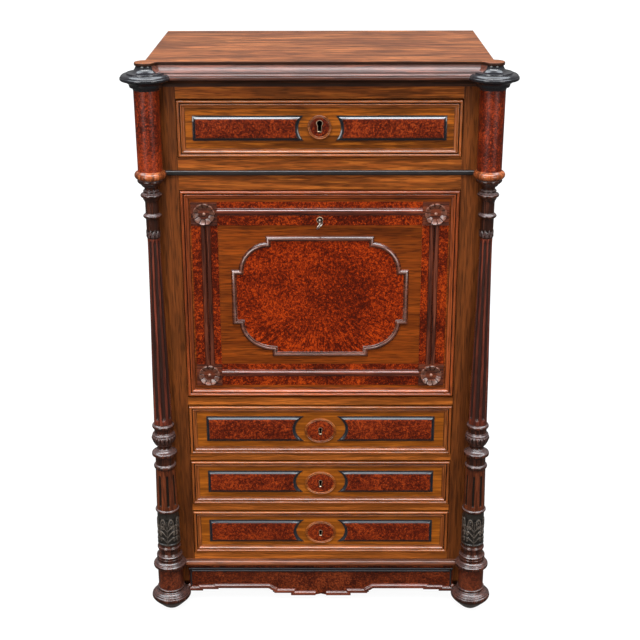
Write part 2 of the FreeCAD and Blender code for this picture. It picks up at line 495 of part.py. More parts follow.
# cartouche: eight lengths of moulding round a burr panel
CW = 12.5
XB, XS = 195.0, 212.5
Z1A, Z0A = 991.0, 713.5          # outer edges of the corner arcs
ZS1, ZS0 = 922.0, 782.0          # ends of the side bars
XT, XU = 122.5, 110.5            # half lengths of the top and bottom bars
ZTB, ZBB = 1006.0, 698.0         # outer edges of the top and bottom bars
cprof = [(0, 0), (0, 3.0), (CW, 3.0, 4.2), (CW, 0)]


def bar_x(zo, sgn, x0, x1):
    pr = [(FY - p[1], zo - sgn * p[0], *[-q * sgn for q in p[2:]]) for p in cprof]
    return along_x(pr, x0, x1)


def bar_z(xo, z0, z1, w=None):
    pts = [(xo - p[0], FY - p[1], *p[2:]) for p in cprof]
    wire = Part.Wire(edges2d(pts, lambda a, b: V(a, b, z0)))
    return Part.Face(wire).extrude(V(0, 0, z1 - z0))


def arc_len(cx, cz, a, b, up):
    """quarter of an elliptical moulding, centre (cx, cz), outer half axes a and b"""
    path = []
    n = 14
    pts = []
    for i in range(n + 1):
        t = math.pi / 2 * i / n
        pts.append(V(cx + (a - CW / 2) * math.sin(t), FY, cz + up * (b - CW / 2) * math.cos(t)))
    spl = Part.BSplineCurve()
    spl.interpolate(pts)
    prof = Part.Wire(edges2d([(p[0], p[1], *p[2:]) for p in cprof], lambda u, pr: V(cx, FY - pr, cz + up * (b - u))))
    return Part.Wire(spl.toShape()).makePipeShell([prof], True, False)


arcs = []
top_arc = arc_len(XT - 1.0, ZS1, XB - XT + 1.0, Z1A - ZS1, 1)
low_arc = arc_len(XU - 2.0, ZS0, XB - XU + 2.0, ZS0 - Z0A, -1)
for s in (top_arc, low_arc):
    s = one(s) if s.Solids else Part.Solid(s)
    if s.Volume < 0:
        s.reverse()
    arcs += [s, mirror(s)]
put("fall_cartouche", bar_x(ZTB, 1, -XT, XT), bar_x(ZBB, -1, -XU, XU), *both(lambda: bar_z(XS, ZS0, ZS1)), *arcs)
# burr panel inside the moulding


def panel_outline():
    r = []
    r.append((0.0, ZTB - CW))
    r.append((XT - 1.0, ZTB - CW))
    r.append((XT - 1.0, Z1A - CW))
    n = 10
    a, b = XB - XT + 1.0 - CW, Z1A - ZS1 - CW
    for i in range(1, n + 1):
        t = math.pi / 2 * i / n
        r.append((XT - 1.0 + a * math.sin(t), ZS1 + b * math.cos(t)))
    r.append((XS - CW, ZS1))
    r.append((XS - CW, ZS0))
    a, b = XB - XU + 2.0 - CW, ZS0 - Z0A - CW
    for i in range(0, n + 1):
        t = math.pi / 2 * (1 - i / n)
        r.append((XU - 2.0 + a * math.sin(t), ZS0 - b * math.cos(t)))
    r.append((XU - 2.0, ZBB + CW))
    r.append((0.0, ZBB + CW))
    return r


pan_r = plate(panel_outline(), FY - 1.2, FY)
put("fall_cartouche_panel", one(pan_r.fuse(mirror(pan_r)).removeSplitter()))
# writing leather on the inside of the fall
put("fall_leather", box(-285, 285, FY + FALL_T, FY + FALL_T + 0.8, 668.0, 1085.0))
# lock let into the top edge, with the keyhole ring on the face
cav = Part.makeCylinder(12.0, 8.0, V(0, 11.5, KEY_Z), V(0, 1, 0))
lock = box(-36, 36, 9.0, 22.0, 1030.0, FALL_Z1).cut([cav, Part.makeCylinder(3.3, 20, V(0, 4, KEY_Z), V(0, 1, 0)),
                                                   box(-15.4, 15.4, 14.1, 18.9, 1085.0, FALL_Z1 + 1)])
ringk = Part.makeCylinder(8.0, 2.4, V(0, FY - 2.4, KEY_Z), V(0, 1, 0)).cut(Part.makeCylinder(3.9, 20, V(0, -10, KEY_Z), V(0, 1, 0)))
put("fall_lock", one(lock), one(ringk))
put("fall_bolt", box(-15, 15, 14.5, 18.5, 1094.0, FALL_Z1 - 0.4))
# key: shank, collar, bit and an open bow
shank = Part.makeCylinder(2.6, 57.0, V(0, -37.0, KEY_Z), V(0, 1, 0))
collar = Part.makeCylinder(4.2, 3.0, V(0, -8.0, KEY_Z), V(0, 1, 0))
bit = box(-1.4, 1.4, 12.0, 19.0, KEY_Z - 10.5, KEY_Z)
bow = Part.makeTorus(9.3, 1.6, V(0, -47.0, KEY_Z), V(1, 0, 0))
key = one(shank.fuse([collar, bit, bow]))
key.rotate(V(0, 0, KEY_Z), V(0, 1, 0), KEY_TURN)
put("key", key)
# pivots: plates let into the ends of the fall, with pins that turn in the stiles
pv = Part.makeCylinder(PIN_R, OPEN_HALF + 12.0 - (OH - 18), V(OH - 18, PIVOT_Y, PIVOT_Z), V(1, 0, 0))
pp = box(OH - 2.0, OH, FY, FY + 18.0, FALL_Z0 + 4, FALL_Z0 + 64)
pvt = one(pv.fuse(pp).removeSplitter())
put("fall_pivots", pvt, mirror(pvt))


# quadrant stays about the pivot, each with a stop lug that meets the back of the stile
def quadrant():
    a0, a1 = math.radians(-10.5), math.radians(80.6)
    x0, x1 = 319.0, 323.0

    def p(r, a):
        return V(x0, PIVOT_Y + r * math.cos(a), PIVOT_Z + r * math.sin(a))
    am = (a0 + a1) / 2
    ro, ri = STAY_R + 6.0, STAY_R - 6.0
    w = Part.Wire([Part.Arc(p(ro, a0), p(ro, am), p(ro, a1)).toShape(), Part.LineSegment(p(ro, a1), p(ri, a1)).toShape(),
                   Part.Arc(p(ri, a1), p(ri, am), p(ri, a0)).toShape(), Part.LineSegment(p(ri, a0), p(ro, a0)).toShape()])
    arc = Part.Face(w).extrude(V(x1 - x0, 0, 0))
    zf = PIVOT_Z + STAY_R
    foot = box(x0 - 9, x1, FY + FALL_T, FY + FALL_T + 2.0, zf - 26, zf + 22)
    web = box(x0, x1, FY + FALL_T, FY + FALL_T + 9.0, zf - 20, zf + 4)
    al = math.radians(-8.3)
    lug = Part.makeCylinder(4.0, 331.5 - x0, V(x0, PIVOT_Y + STAY_R * math.cos(al), PIVOT_Z + STAY_R * math.sin(al)), V(1, 0, 0))
    q = arc.fuse([foot, web, lug]).removeSplitter()
    return one(q)


qd = quadrant()
put("fall_quadrants", qd, mirror(qd))

# ---------------------------------------------------------------- write
tot = None
count = 0
for name, lst in nodes.items():
    out = []
    for s in lst:
        s = s.copy()
        s.translate(V(0, Y0, 0))
        s.scale(SCALE)
        for q in s.Solids:
            if q.Volume < 0:
                q.reverse()
            out.append(q)
    comp = out[0] if len(out) == 1 else Part.makeCompound(out)
    bad = [i for i, q in enumerate(out) if not q.isValid()]
    if bad:
        print("not valid:", name, bad)
    comp.exportStep("parts/%s.step" % name)
    count += len(out)
    b = FreeCAD.BoundBox()
    for v in comp.tessellate(0.2)[0]:
        b.add(v)
    tot = b if tot is None else tot.united(b)
print("nodes", len(nodes), "solids", count)
print("box", [round(v, 2) for v in (tot.XMin, tot.XMax, tot.YMin, tot.YMax, tot.ZMin, tot.ZMax)], "stile face Y", round(Y0 * SCALE, 3))
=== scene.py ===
import math

import bmesh
import bpy
from mathutils import Matrix, Vector


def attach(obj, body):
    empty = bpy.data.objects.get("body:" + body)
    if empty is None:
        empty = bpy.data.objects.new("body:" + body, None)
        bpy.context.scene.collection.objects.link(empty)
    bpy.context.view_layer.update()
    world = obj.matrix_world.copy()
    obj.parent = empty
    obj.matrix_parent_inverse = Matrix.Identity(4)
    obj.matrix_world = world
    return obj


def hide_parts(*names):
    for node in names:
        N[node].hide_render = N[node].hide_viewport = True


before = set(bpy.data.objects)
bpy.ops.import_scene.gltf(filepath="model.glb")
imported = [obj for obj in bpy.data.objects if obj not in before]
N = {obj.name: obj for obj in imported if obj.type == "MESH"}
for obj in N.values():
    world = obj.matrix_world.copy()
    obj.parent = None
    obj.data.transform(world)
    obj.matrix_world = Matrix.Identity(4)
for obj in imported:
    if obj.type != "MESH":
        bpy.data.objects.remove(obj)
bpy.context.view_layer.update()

scene = bpy.context.scene

# ------------------------------------------------------------------ drawing units
S = 1.1e-3                  # drawing unit in metres
Y0 = -186.25                # front face of the stiles
CASE_HALF, CASE_DEPTH = 384.0, 448.0
COL_X, COL_OUT = 391.0, 17.0
OPEN_HALF, GAP, TOP_GAP, OH, FACE = 328.5, 1.3, 2.8, 327.2, 2.0
DRAWER_BACK = 402.0
FALL_T, FALL_Z0, FALL_Z1 = 24.0, 592.5, 1117.4
KEY_Z = 1046.0


def W(x, y, z):
    return (x * S, (y + Y0) * S, z * S)


# ------------------------------------------------------------------ outlines
def arc(a, b, sag, n):
    """points after a up to b on an arc whose middle lies sag to the left of the run"""
    dx, dy = b[0] - a[0], b[1] - a[1]
    ln = math.hypot(dx, dy)
    r = (ln * ln / 4 + sag * sag) / (2 * abs(sag))
    s = 1.0 if sag > 0 else -1.0
    nx, ny = -dy / ln, dx / ln
    k = sag - s * r
    cx, cy = (a[0] + b[0]) / 2 + nx * k, (a[1] + b[1]) / 2 + ny * k
    a0 = math.atan2(a[1] - cy, a[0] - cx)
    half = math.asin(min(1.0, ln / 2 / r))
    if abs(sag) > r:
        half = math.pi - half
    return [(cx + r * math.cos(a0 - s * 2 * half * i / n), cy + r * math.sin(a0 - s * 2 * half * i / n)) for i in range(1, n + 1)]


def poly(prof, step=0.9, closed=False):
    out = [tuple(prof[0][:2])]
    for q in list(prof[1:]) + ([prof[0]] if closed else []):
        a, b = out[-1], tuple(q[:2])
        ln = math.hypot(b[0] - a[0], b[1] - a[1])
        if ln < 1e-6:
            continue
        if len(q) > 2 and q[2]:
            n = max(5, min(20, int((ln + 2 * abs(q[2])) / step)))
            out += arc(a, b, q[2], n)
        else:
            out.append(b)
    if closed:
        out.pop()
    return out


def soften(pts, rad=0.6, closed=False):
    """rounds the corners of a polyline"""
    out = []
    n = len(pts)
    for i in range(n):
        p = pts[i]
        if not closed and i in (0, n - 1):
            out.append(p)
            continue
        a, b = pts[i - 1], pts[(i + 1) % n]
        v1, v2 = (p[0] - a[0], p[1] - a[1]), (b[0] - p[0], b[1] - p[1])
        l1, l2 = math.hypot(*v1), math.hypot(*v2)
        if l1 < 1e-6 or l2 < 1e-6:
            continue
        if (v1[0] * v2[0] + v1[1] * v2[1]) / (l1 * l2) > 0.93:
            out.append(p)
            continue
        d = min(rad, l1 * 0.42, l2 * 0.42)
        p1 = (p[0] - v1[0] / l1 * d, p[1] - v1[1] / l1 * d)
        p2 = (p[0] + v2[0] / l2 * d, p[1] + v2[1] / l2 * d)
        for t in (0.0, 0.33, 0.67, 1.0):
            out.append(tuple((1 - t) ** 2 * p1[k] + 2 * t * (1 - t) * p[k] + t * t * p2[k] for k in (0, 1)))
    return out


def refine(pts, most):
    """adds points so that no span is longer than most"""
    out = [pts[0]]
    for q in pts[1:]:
        p = out[-1]
        ln = math.hypot(q[0] - p[0], q[1] - p[1])
        k = max(1, int(math.ceil(ln / most)))
        out += [(p[0] + (q[0] - p[0]) * i / k, p[1] + (q[1] - p[1]) * i / k) for i in range(1, k + 1)]
    return out


# ------------------------------------------------------------------ meshes
def make(name, verts, faces, mat, body="case", node=None, slot=None, sharp=38, attrs=None, fix=True):
    me = bpy.data.meshes.new(name)
    me.from_pydata([tuple(v) for v in verts], [], faces)
    for key, vals in (attrs or {}).items():
        a = me.attributes.new(key, "FLOAT", "POINT")
        a.data.foreach_set("value", vals)
    bm = bmesh.new()
    bm.from_mesh(me)
    bmesh.ops.remove_doubles(bm, verts=bm.verts, dist=1e-6)
    bmesh.ops.dissolve_degenerate(bm, edges=bm.edges, dist=1e-7)
    if fix:
        bmesh.ops.recalc_face_normals(bm, faces=bm.faces)
    bm.to_mesh(me)
    bm.free()
    me.materials.append(mat)
    me.polygons.foreach_set("use_smooth", [True] * len(me.polygons))
    me.set_sharp_from_angle(angle=math.radians(sharp))
    me.update()
    o = bpy.data.objects.new(name, me)
    scene.collection.objects.link(o)
    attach(o, body)
    if node:
        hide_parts(*([node] if isinstance(node, str) else node))
    return o


class Mesh:
    """collects parts that share one object"""

    def __init__(self):
        self.v, self.f, self.a = [], [], {}

    def add(self, verts, faces, **attrs):
        k = len(self.v)
        for key, vals in attrs.items():
            self.a.setdefault(key, [0.0] * k)
            self.a[key] += [0.0] * (k - len(self.a[key])) + list(vals)
        self.v += list(verts)
        self.f += [tuple(i + k for i in f) for f in faces]
        return self

    def make(self, name, mat, **kw):
        at = {k: v + [0.0] * (len(self.v) - len(v)) for k, v in self.a.items()}
        return make(name, self.v, self.f, mat, attrs=at, **kw)


def grid_faces(rows, cols, wrap):
    f = []
    for i in range(rows - 1):
        for j in range(cols if wrap else cols - 1):
            a, b = i * cols + j, i * cols + (j + 1) % cols
            f.append((a, b, b + cols, a + cols))
    return f


def lathe(prof, side, mod=None, nseg=96, notch=True, soft=0.7, most=None, ax=COL_X, ay=-COL_OUT, ledge=0.0):
    """turned piece about a corner axis, let in round the corner of the case; mod(r, z, th) gives (radius, painted
    shade, wear and painted highlight); ledge paints the upward-facing shoulders lighter as a painted highlight
    """
    pts = soften(poly(prof, 1.0), soft)
    if most:
        pts = refine(pts, most)
    sx = 1.0 if side == "right" else -1.0
    v, tone, wear = [], [], []
    for i, (r, z) in enumerate(pts):
        (ra, za), (rb, zb) = pts[max(0, i - 1)], pts[min(len(pts) - 1, i + 1)]
        up = math.degrees(math.atan2(rb - ra, za - zb))
        # painted highlight: shoulders whose slope faces up towards the overhead light get a lighter colour
        top_highlight_weight = ledge * max(0.0, min(1.0, (up - 22.0) / 14.0, (84.0 - up) / 24.0))
        for j in range(nseg):
            th = 2 * math.pi * j / nseg
            rr, t, w = (r, 0.0, 0.0) if mod is None else mod(r, z, th)
            w = max(w * (0.45 if ledge else 1.0), top_highlight_weight)
            x, y = ax + rr * math.cos(th), ay + rr * math.sin(th)
            if notch and x < CASE_HALF and y > 0.0:
                if CASE_HALF - x < y:
                    x = CASE_HALF - 0.3
                else:
                    y = 0.3
            v.append(W(sx * x, y, z))
            tone.append(t)
            wear.append(w)
    f = grid_faces(len(pts), nseg, True)
    f.append(tuple(range(nseg)))
    f.append(tuple(range((len(pts) - 1) * nseg, len(pts) * nseg)))
    return v, f, tone, wear


def sweep(path, prof, closed, place):
    """profile (across, proud) run along a flat path with mitred corners; across is to the right of the run.
    place(a, b, proud) gives the point"""
    n = len(path)
    rows = []
    for i in range(n):
        p = path[i]
        d1 = d2 = None
        if closed or i > 0:
            q = path[i - 1]
            l = math.hypot(p[0] - q[0], p[1] - q[1])
            d1 = ((p[0] - q[0]) / l, (p[1] - q[1]) / l)
        if closed or i < n - 1:
            q = path[(i + 1) % n]
            l = math.hypot(q[0] - p[0], q[1] - p[1])
            d2 = ((q[0] - p[0]) / l, (q[1] - p[1]) / l)
        d1, d2 = d1 or d2, d2 or d1
        n1, n2 = (d1[1], -d1[0]), (d2[1], -d2[0])
        k = 1 + n1[0] * n2[0] + n1[1] * n2[1]
        m = ((n1[0] + n2[0]) / k, (n1[1] + n2[1]) / k)
        rows.append([place(p[0] + m[0] * u, p[1] + m[1] * u, h) for u, h in prof])
    cols = len(prof)
    v = [p for r in rows for p in r]
    if closed:
        rows_n = n
        f = []
        for i in range(rows_n):
            for j in range(cols):
                a, b = i * cols + j, i * cols + (j + 1) % cols
                c, d = ((i + 1) % rows_n) * cols + (j + 1) % cols, ((i + 1) % rows_n) * cols + j
                f.append((a, b, c, d))
    else:
        f = grid_faces(n, cols, True)
        f.append(tuple(range(cols)))
        f.append(tuple(range((n - 1) * cols, n * cols)))
    return v, f


def front(y):
    """places a front outline: a is X, b is Z, proud stands out from plane y"""
    return lambda a, b, h: W(a, y - h, b)


def plan(z):
    """places a plan outline: a is X, b is Y, and the profile's second value is the height"""
    return lambda a, b, h: W(a, b, h)


def split_frame(x0, x1, z0, z1, prof, y, shade=None):
    """four mitred lengths round a rectangle: (top and bottom, sides); shade(across, proud) gives the painted shade in
    the quirks
    """
    c = [(x0, z0), (x0, z1), (x1, z1), (x1, z0)]           # clockwise seen from the front: inside is to the right
    pr = prof
    cols = len(pr)
    rows = []
    for i in range(4):
        p, q, r = c[i], c[i - 1], c[(i + 1) % 4]
        d1 = (p[0] - q[0], p[1] - q[1])
        d2 = (r[0] - p[0], r[1] - p[1])
        l1, l2 = math.hypot(*d1), math.hypot(*d2)
        n1, n2 = (d1[1] / l1, -d1[0] / l1), (d2[1] / l2, -d2[0] / l2)
        m = (n1[0] + n2[0], n1[1] + n2[1])
        rows.append([W(p[0] + m[0] * u, y - h, p[1] + m[1] * u) for u, h in pr])
    hor, ver = Mesh(), Mesh()
    for i in range(4):
        v = rows[i] + rows[(i + 1) % 4]
        f = grid_faces(2, cols, True) + [tuple(range(cols)), tuple(range(cols, 2 * cols))]
        (ver if i in (0, 2) else hor).add(v, f, **({"tone": [shade(u, h) for u, h in pr] * 2} if shade else {}))
    return hor, ver


def inset_outline(pts, d):
    """moves a closed anticlockwise outline inwards by d"""
    n = len(pts)
    out = []
    for i in range(n):
        p, q, r = pts[i], pts[i - 1], pts[(i + 1) % n]
        d1, d2 = (p[0] - q[0], p[1] - q[1]), (r[0] - p[0], r[1] - p[1])
        l1, l2 = math.hypot(*d1), math.hypot(*d2)
        n1, n2 = (-d1[1] / l1, d1[0] / l1), (-d2[1] / l2, d2[0] / l2)
        k = 1 + n1[0] * n2[0] + n1[1] * n2[1]
        out.append((p[0] + (n1[0] + n2[0]) / k * d, p[1] + (n1[1] + n2[1]) / k * d))
    return out


def slab(outline, levels, place):
    """stack of insets of an outline, (inset, height) pairs, closed at both ends"""
    rings = [inset_outline(outline, d) if d else list(outline) for d, _ in levels]
    n = len(outline)
    v = [place(p[0], p[1], h) for ring, (_, h) in zip(rings, levels) for p in ring]
    f = grid_faces(len(levels), n, True)
    f.append(tuple(range(n)))
    f.append(tuple(range((len(levels) - 1) * n, len(levels) * n)))
    return v, f


def rounded(lo, hi, r):
    """levels of a plate from height lo to hi with rounded arrises"""
    return [(r, lo), (r * 0.3, lo + r * 0.3), (0, lo + r), (0, hi - r), (r * 0.3, hi - r * 0.3), (r, hi)]


def board(x0, x1, y0, y1, z0, z1, r=0.8):
    """board with eased arrises"""
    rect = [(x0 + r, z0 + r), (x1 - r, z0 + r), (x1 - r, z1 - r), (x0 + r, z1 - r)]
    out = []
    for i, (cx, cz) in enumerate(rect):
        a0 = math.pi + i * math.pi / 2
        for k in range(3):
            a = a0 + k * math.pi / 4
            out.append((cx + r * math.cos(a), cz + r * math.sin(a)))
    return slab(out, [(r * 0.9, 0), (r * 0.25, r * 0.3), (0, r), (0, y1 - y0 - r), (r * 0.25, y1 - y0 - r * 0.3), (r * 0.9, y1 - y0)],
                lambda a, b, h: W(a, y0 + h, b))


def mirror_x(v):
    return [(-p[0], p[1], p[2]) for p in v]


# ------------------------------------------------------------------ materials
def lin(r, g, b):
    return tuple((c / 255 / 12.92) if c / 255 <= 0.04045 else ((c / 255 + 0.055) / 1.055) ** 2.4 for c in (r, g, b)) + (1.0,)


class Nodes:
    def __init__(self, name):
        self.m = bpy.data.materials.new(name)
        self.m.use_nodes = True
        self.t = self.m.node_tree
        self.t.nodes.clear()
        out = self.t.nodes.new("ShaderNodeOutputMaterial")
        self.b = self.t.nodes.new("ShaderNodeBsdfPrincipled")
        self.t.links.new(self.b.outputs[0], out.inputs[0])
        self.co = self.t.nodes.new("ShaderNodeTexCoord").outputs["Object"]

    def link(self, value, socket):
        if isinstance(value, bpy.types.NodeSocket):
            self.t.links.new(value, socket)
        else:
            socket.default_value = value

    def set(self, **kw):
        for k, v in kw.items():
            self.link(v, self.b.inputs[k.replace("_", " ")])

    def map(self, vec, rot=(0, 0, 0), scale=(1, 1, 1), loc=(0, 0, 0)):
        n = self.t.nodes.new("ShaderNodeMapping")
        self.link(vec, n.inputs["Vector"])
        n.inputs["Rotation"].default_value = rot
        n.inputs["Scale"].default_value = scale
        n.inputs["Location"].default_value = loc
        return n.outputs[0]

    def noise(self, vec, scale=1.0, detail=3.0, rough=0.5, distort=0.0, color=False):
        n = self.t.nodes.new("ShaderNodeTexNoise")
        self.link(vec, n.inputs["Vector"])
        n.inputs["Scale"].default_value = scale
        n.inputs["Detail"].default_value = detail
        n.inputs["Roughness"].default_value = rough
        n.inputs["Distortion"].default_value = distort
        return n.outputs[1 if color else 0]

    def voronoi(self, vec, scale, feature="F1", rand=1.0):
        n = self.t.nodes.new("ShaderNodeTexVoronoi")
        n.feature = feature
        self.link(vec, n.inputs["Vector"])
        n.inputs["Scale"].default_value = scale
        n.inputs["Randomness"].default_value = rand
        return n.outputs["Distance"]

    def ramp(self, fac, *stops):
        n = self.t.nodes.new("ShaderNodeValToRGB")
        self.link(fac, n.inputs[0])
        e = n.color_ramp.elements
        while len(e) < len(stops):
            e.new(0.5)
        for k, (p, c) in enumerate(stops):
            e[k].position = p
            e[k].color = c if isinstance(c, tuple) else (c, c, c, 1.0)
        return n.outputs[0]

    def mix(self, fac, a, b, how="MIX"):
        n = self.t.nodes.new("ShaderNodeMix")
        n.data_type = "RGBA"
        n.blend_type = how
        self.link(fac, n.inputs[0])
        self.link(a, n.inputs[6])
        self.link(b, n.inputs[7])
        return n.outputs[2]

    def math(self, op, a, b=0.0, clamp=False):
        n = self.t.nodes.new("ShaderNodeMath")
        n.operation = op
        n.use_clamp = clamp
        self.link(a, n.inputs[0])
        self.link(b, n.inputs[1])
        return n.outputs[0]

    def vec(self, op, a, b=(0, 0, 0)):
        n = self.t.nodes.new("ShaderNodeVectorMath")
        n.operation = op
        self.link(a, n.inputs[0])
        self.link(b, n.inputs[1])
        return n.outputs[0]

    def attr(self, name):
        n = self.t.nodes.new("ShaderNodeAttribute")
        n.attribute_name = name
        return n.outputs["Fac"]

    def bump(self, height, strength, dist):
        n = self.t.nodes.new("ShaderNodeBump")
        n.inputs["Strength"].default_value = strength
        n.inputs["Distance"].default_value = dist
        self.link(height, n.inputs["Height"])
        self.link(n.outputs[0], self.b.inputs["Normal"])


ROT = {"X": (0, 0, 0), "Z": (0, math.pi / 2, 0), "Y": (0, 0, -math.pi / 2)}


def wood(name, dark, mid, light, axis="X", seed=0.0, streak=0.6, figure=(1.3, 17.0), wave=0.5, rough=(0.34, 0.5), spec=0.1, coat=0.0,
         coat_rough=0.2, painted_shade_colour=None, wear_and_highlight_colour=None, pores=0.5, bump=0.2, fibre=0.78, low=None, fine=1.0):
    """long-grained veneer: broad figure, dark streaks, fibres and pores along one axis"""
    n = Nodes(name)
    g = n.map(n.co, rot=ROT[axis], loc=(seed * 1.7, seed * 0.9, seed * 1.3))
    wob = n.noise(n.map(g, scale=(3.0, 9.0, 9.0)), 1.0, 2.0, 0.5, color=True)
    g = n.vec("ADD", g, n.vec("MULTIPLY", n.vec("SUBTRACT", wob, (0.5, 0.5, 0.5)), (0.0, 0.010 * wave, 0.010 * wave)))
    fig = n.noise(n.map(g, scale=(figure[0], figure[1], figure[1])), 1.0, 4.0, 0.58, 0.5)
    st = n.noise(n.map(g, scale=(figure[0] * 5.0, figure[1] * 7.0, figure[1] * 7.0)), 1.0, 4.0, 0.62, 0.3)
    fib = n.noise(n.map(g, scale=(7.0 * fine, 125.0 * fine, 125.0 * fine)), 1.0, 1.5, 0.55)
    por = n.noise(n.map(g, scale=(20.0, 330.0, 330.0)), 1.0, 1.0, 0.5)
    base = n.math("ADD", n.math("MULTIPLY", fig, 0.5), n.math("MULTIPLY", fib, 0.5))
    col = n.ramp(base, (0.37, dark), (0.49, mid), (0.61, light))
    col = n.mix(n.math("MULTIPLY", n.ramp(st, (0.47, 0.0), (0.60, 1.0)), streak * 0.7), col, tuple(c * 0.8 for c in dark[:3]) + (1.0,))
    col = n.mix(n.math("MULTIPLY", n.ramp(fib, (0.49, 0.0), (0.57, 1.0)), fibre), col, tuple(c * 0.30 for c in mid[:3]) + (1.0,))
    col = n.mix(n.math("MULTIPLY", n.ramp(fib, (0.36, 1.0), (0.46, 0.0)), 0.55 * fibre), col, tuple(min(1.0, c * 1.25) for c in light[:3]) + (1.0,))
    pm = n.ramp(por, (0.52, 0.0), (0.62, 1.0))
    col = n.mix(n.math("MULTIPLY", pm, pores), col, tuple(c * 0.35 for c in dark[:3]) + (1.0,))
    if low:
        # painted light: mixed towards the light colour below a given height, standing in for the stronger light on the
        # lower front
        sep = n.t.nodes.new("ShaderNodeSeparateXYZ")
        n.link(n.co, sep.inputs[0])
        col = n.mix(n.ramp(n.math("MULTIPLY", sep.outputs[2], 0.5), (low[0] * 0.5, low[2]), (low[1] * 0.5, 0.0)), col, light)
    # painted shade: the tone attribute darkens quirks, grooves, flutes and recesses towards painted_shade_colour
    if painted_shade_colour:
        col = n.mix(n.attr("tone"), col, painted_shade_colour)
    # wear and painted highlight: the wear attribute lightens crests, petals and upward-facing shoulders
    if wear_and_highlight_colour:
        col = n.mix(n.math("MULTIPLY", n.attr("wear"), n.ramp(n.noise(n.co, 260.0, 3.0, 0.6), (0.35, 0.6), (0.65, 1.0))), col, wear_and_highlight_colour)
    n.set(Base_Color=col, Roughness=n.ramp(n.math("ADD", n.math("MULTIPLY", fig, 0.5), n.math("MULTIPLY", fib, 0.5)), (0.3, rough[0]), (0.7, rough[1])),
          Specular_IOR_Level=spec, Coat_Weight=coat, Coat_Roughness=coat_rough)
    n.bump(n.math("SUBTRACT", n.math("MULTIPLY", fib, 0.5), pm), bump, 0.0004)
    return n.m


def burr(name, dark, mid, bright, speck, seed=0.0, size=1.6, patch=14.0, rough=(0.3, 0.46), spec=0.07, coat=0.0, rays=None, amount=0.8, heart=None, spread=1.0):
    """burr veneer: small dark eyes and worm-like flecks crowded over a clouded ground"""
    n = Nodes(name)
    p = n.map(n.co, loc=(seed * 1.31, seed * 0.77, seed * 1.93))
    wob = n.noise(p, 70.0 * size, 3.0, 0.6, color=True)
    q = n.vec("ADD", p, n.vec("MULTIPLY", n.vec("SUBTRACT", wob, (0.5, 0.5, 0.5)), (0.010 / size, 0.010 / size, 0.010 / size)))
    big = n.noise(p, patch, 3.0, 0.55, 0.6)
    med = n.noise(q, 105.0 * size, 4.0, 0.62, 0.5)
    fine = n.noise(q, 240.0 * size, 3.0, 0.62, 0.3)
    worm = n.noise(q, 150.0 * size, 2.0, 0.5, 0.6)
    tiny = n.noise(q, 700.0 * size, 2.0, 0.6)
    cloud = n.math("ADD", n.math("MULTIPLY", big, 0.24 * spread), n.math("ADD", n.math("MULTIPLY", med, 0.40), n.math("MULTIPLY", fine, 0.36)))
    cloud = n.math("ADD", cloud, 0.12 * (1 - spread))
    if rays:
        # streaks running out to the lower corners from the middle
        c, r0, r1 = rays
        d = n.vec("SUBTRACT", n.co, c)
        u = n.vec("NORMALIZE", n.vec("MULTIPLY", d, (1, 0, 1)))
        fl = n.noise(n.vec("ADD", n.vec("MULTIPLY", u, (11.0, 11.0, 11.0)), n.vec("MULTIPLY", d, (14.0, 14.0, 14.0))), 2.4, 4.0, 0.65, 0.3)
        ln = n.t.nodes.new("ShaderNodeVectorMath")
        ln.operation = "LENGTH"
        n.link(d, ln.inputs[0])
        far = n.math("MULTIPLY", n.math("SUBTRACT", ln.outputs["Value"], r0), 1.0 / (r1 - r0), clamp=True)
        sep = n.t.nodes.new("ShaderNodeSeparateXYZ")
        n.link(d, sep.inputs[0])
        low = n.ramp(n.math("MULTIPLY", sep.outputs[2], -5.0), (0.1, 0.0), (0.55, 1.0))
        cloud = n.math("ADD", cloud, n.math("MULTIPLY", n.math("MULTIPLY", far, low), n.math("MULTIPLY", n.math("SUBTRACT", fl, 0.5), 0.42)))
    if heart:
        c, r, strength = heart
        d = n.vec("SUBTRACT", n.co, c)
        ln = n.t.nodes.new("ShaderNodeVectorMath")
        ln.operation = "LENGTH"
        n.link(n.vec("MULTIPLY", d, (0.8, 0, 1.0)), ln.inputs[0])
        hm = n.ramp(n.math("MULTIPLY", ln.outputs["Value"], 1.0 / r), (0.3, strength), (1.0, 0.0))
        cloud = n.math("SUBTRACT", cloud, hm)
    col = n.ramp(cloud, (0.43, speck), (0.475, dark), (0.52, mid), (0.57, bright))
    lines = n.ramp(n.math("ABSOLUTE", n.math("SUBTRACT", worm, 0.5)), (0.006, 1.0), (0.05, 0.0))
    col = n.mix(n.math("MULTIPLY", lines, n.math("MULTIPLY", n.ramp(fine, (0.40, 0.2), (0.58, 1.0)), amount)), col, speck)
    eyes = n.voronoi(q, 250.0 * size)
    col = n.mix(n.math("MULTIPLY", n.ramp(eyes, (0.10, 0.8), (0.26, 0.0)), n.ramp(med, (0.40, 1.0), (0.56, 0.35))), col, tuple(c * 0.6 for c in speck[:3]) + (1.0,))
    col = n.mix(n.math("MULTIPLY", n.ramp(tiny, (0.52, 0.0), (0.66, 1.0)), 0.22), col, bright)
    n.set(Base_Color=col, Roughness=n.ramp(cloud, (0.42, rough[0]), (0.58, rough[1])), Specular_IOR_Level=spec, Coat_Weight=coat, Coat_Roughness=0.12)
    n.bump(n.math("ADD", n.math("MULTIPLY", fine, 0.6), n.math("MULTIPLY", tiny, 0.4)), 0.08, 0.0004)
    return n.m


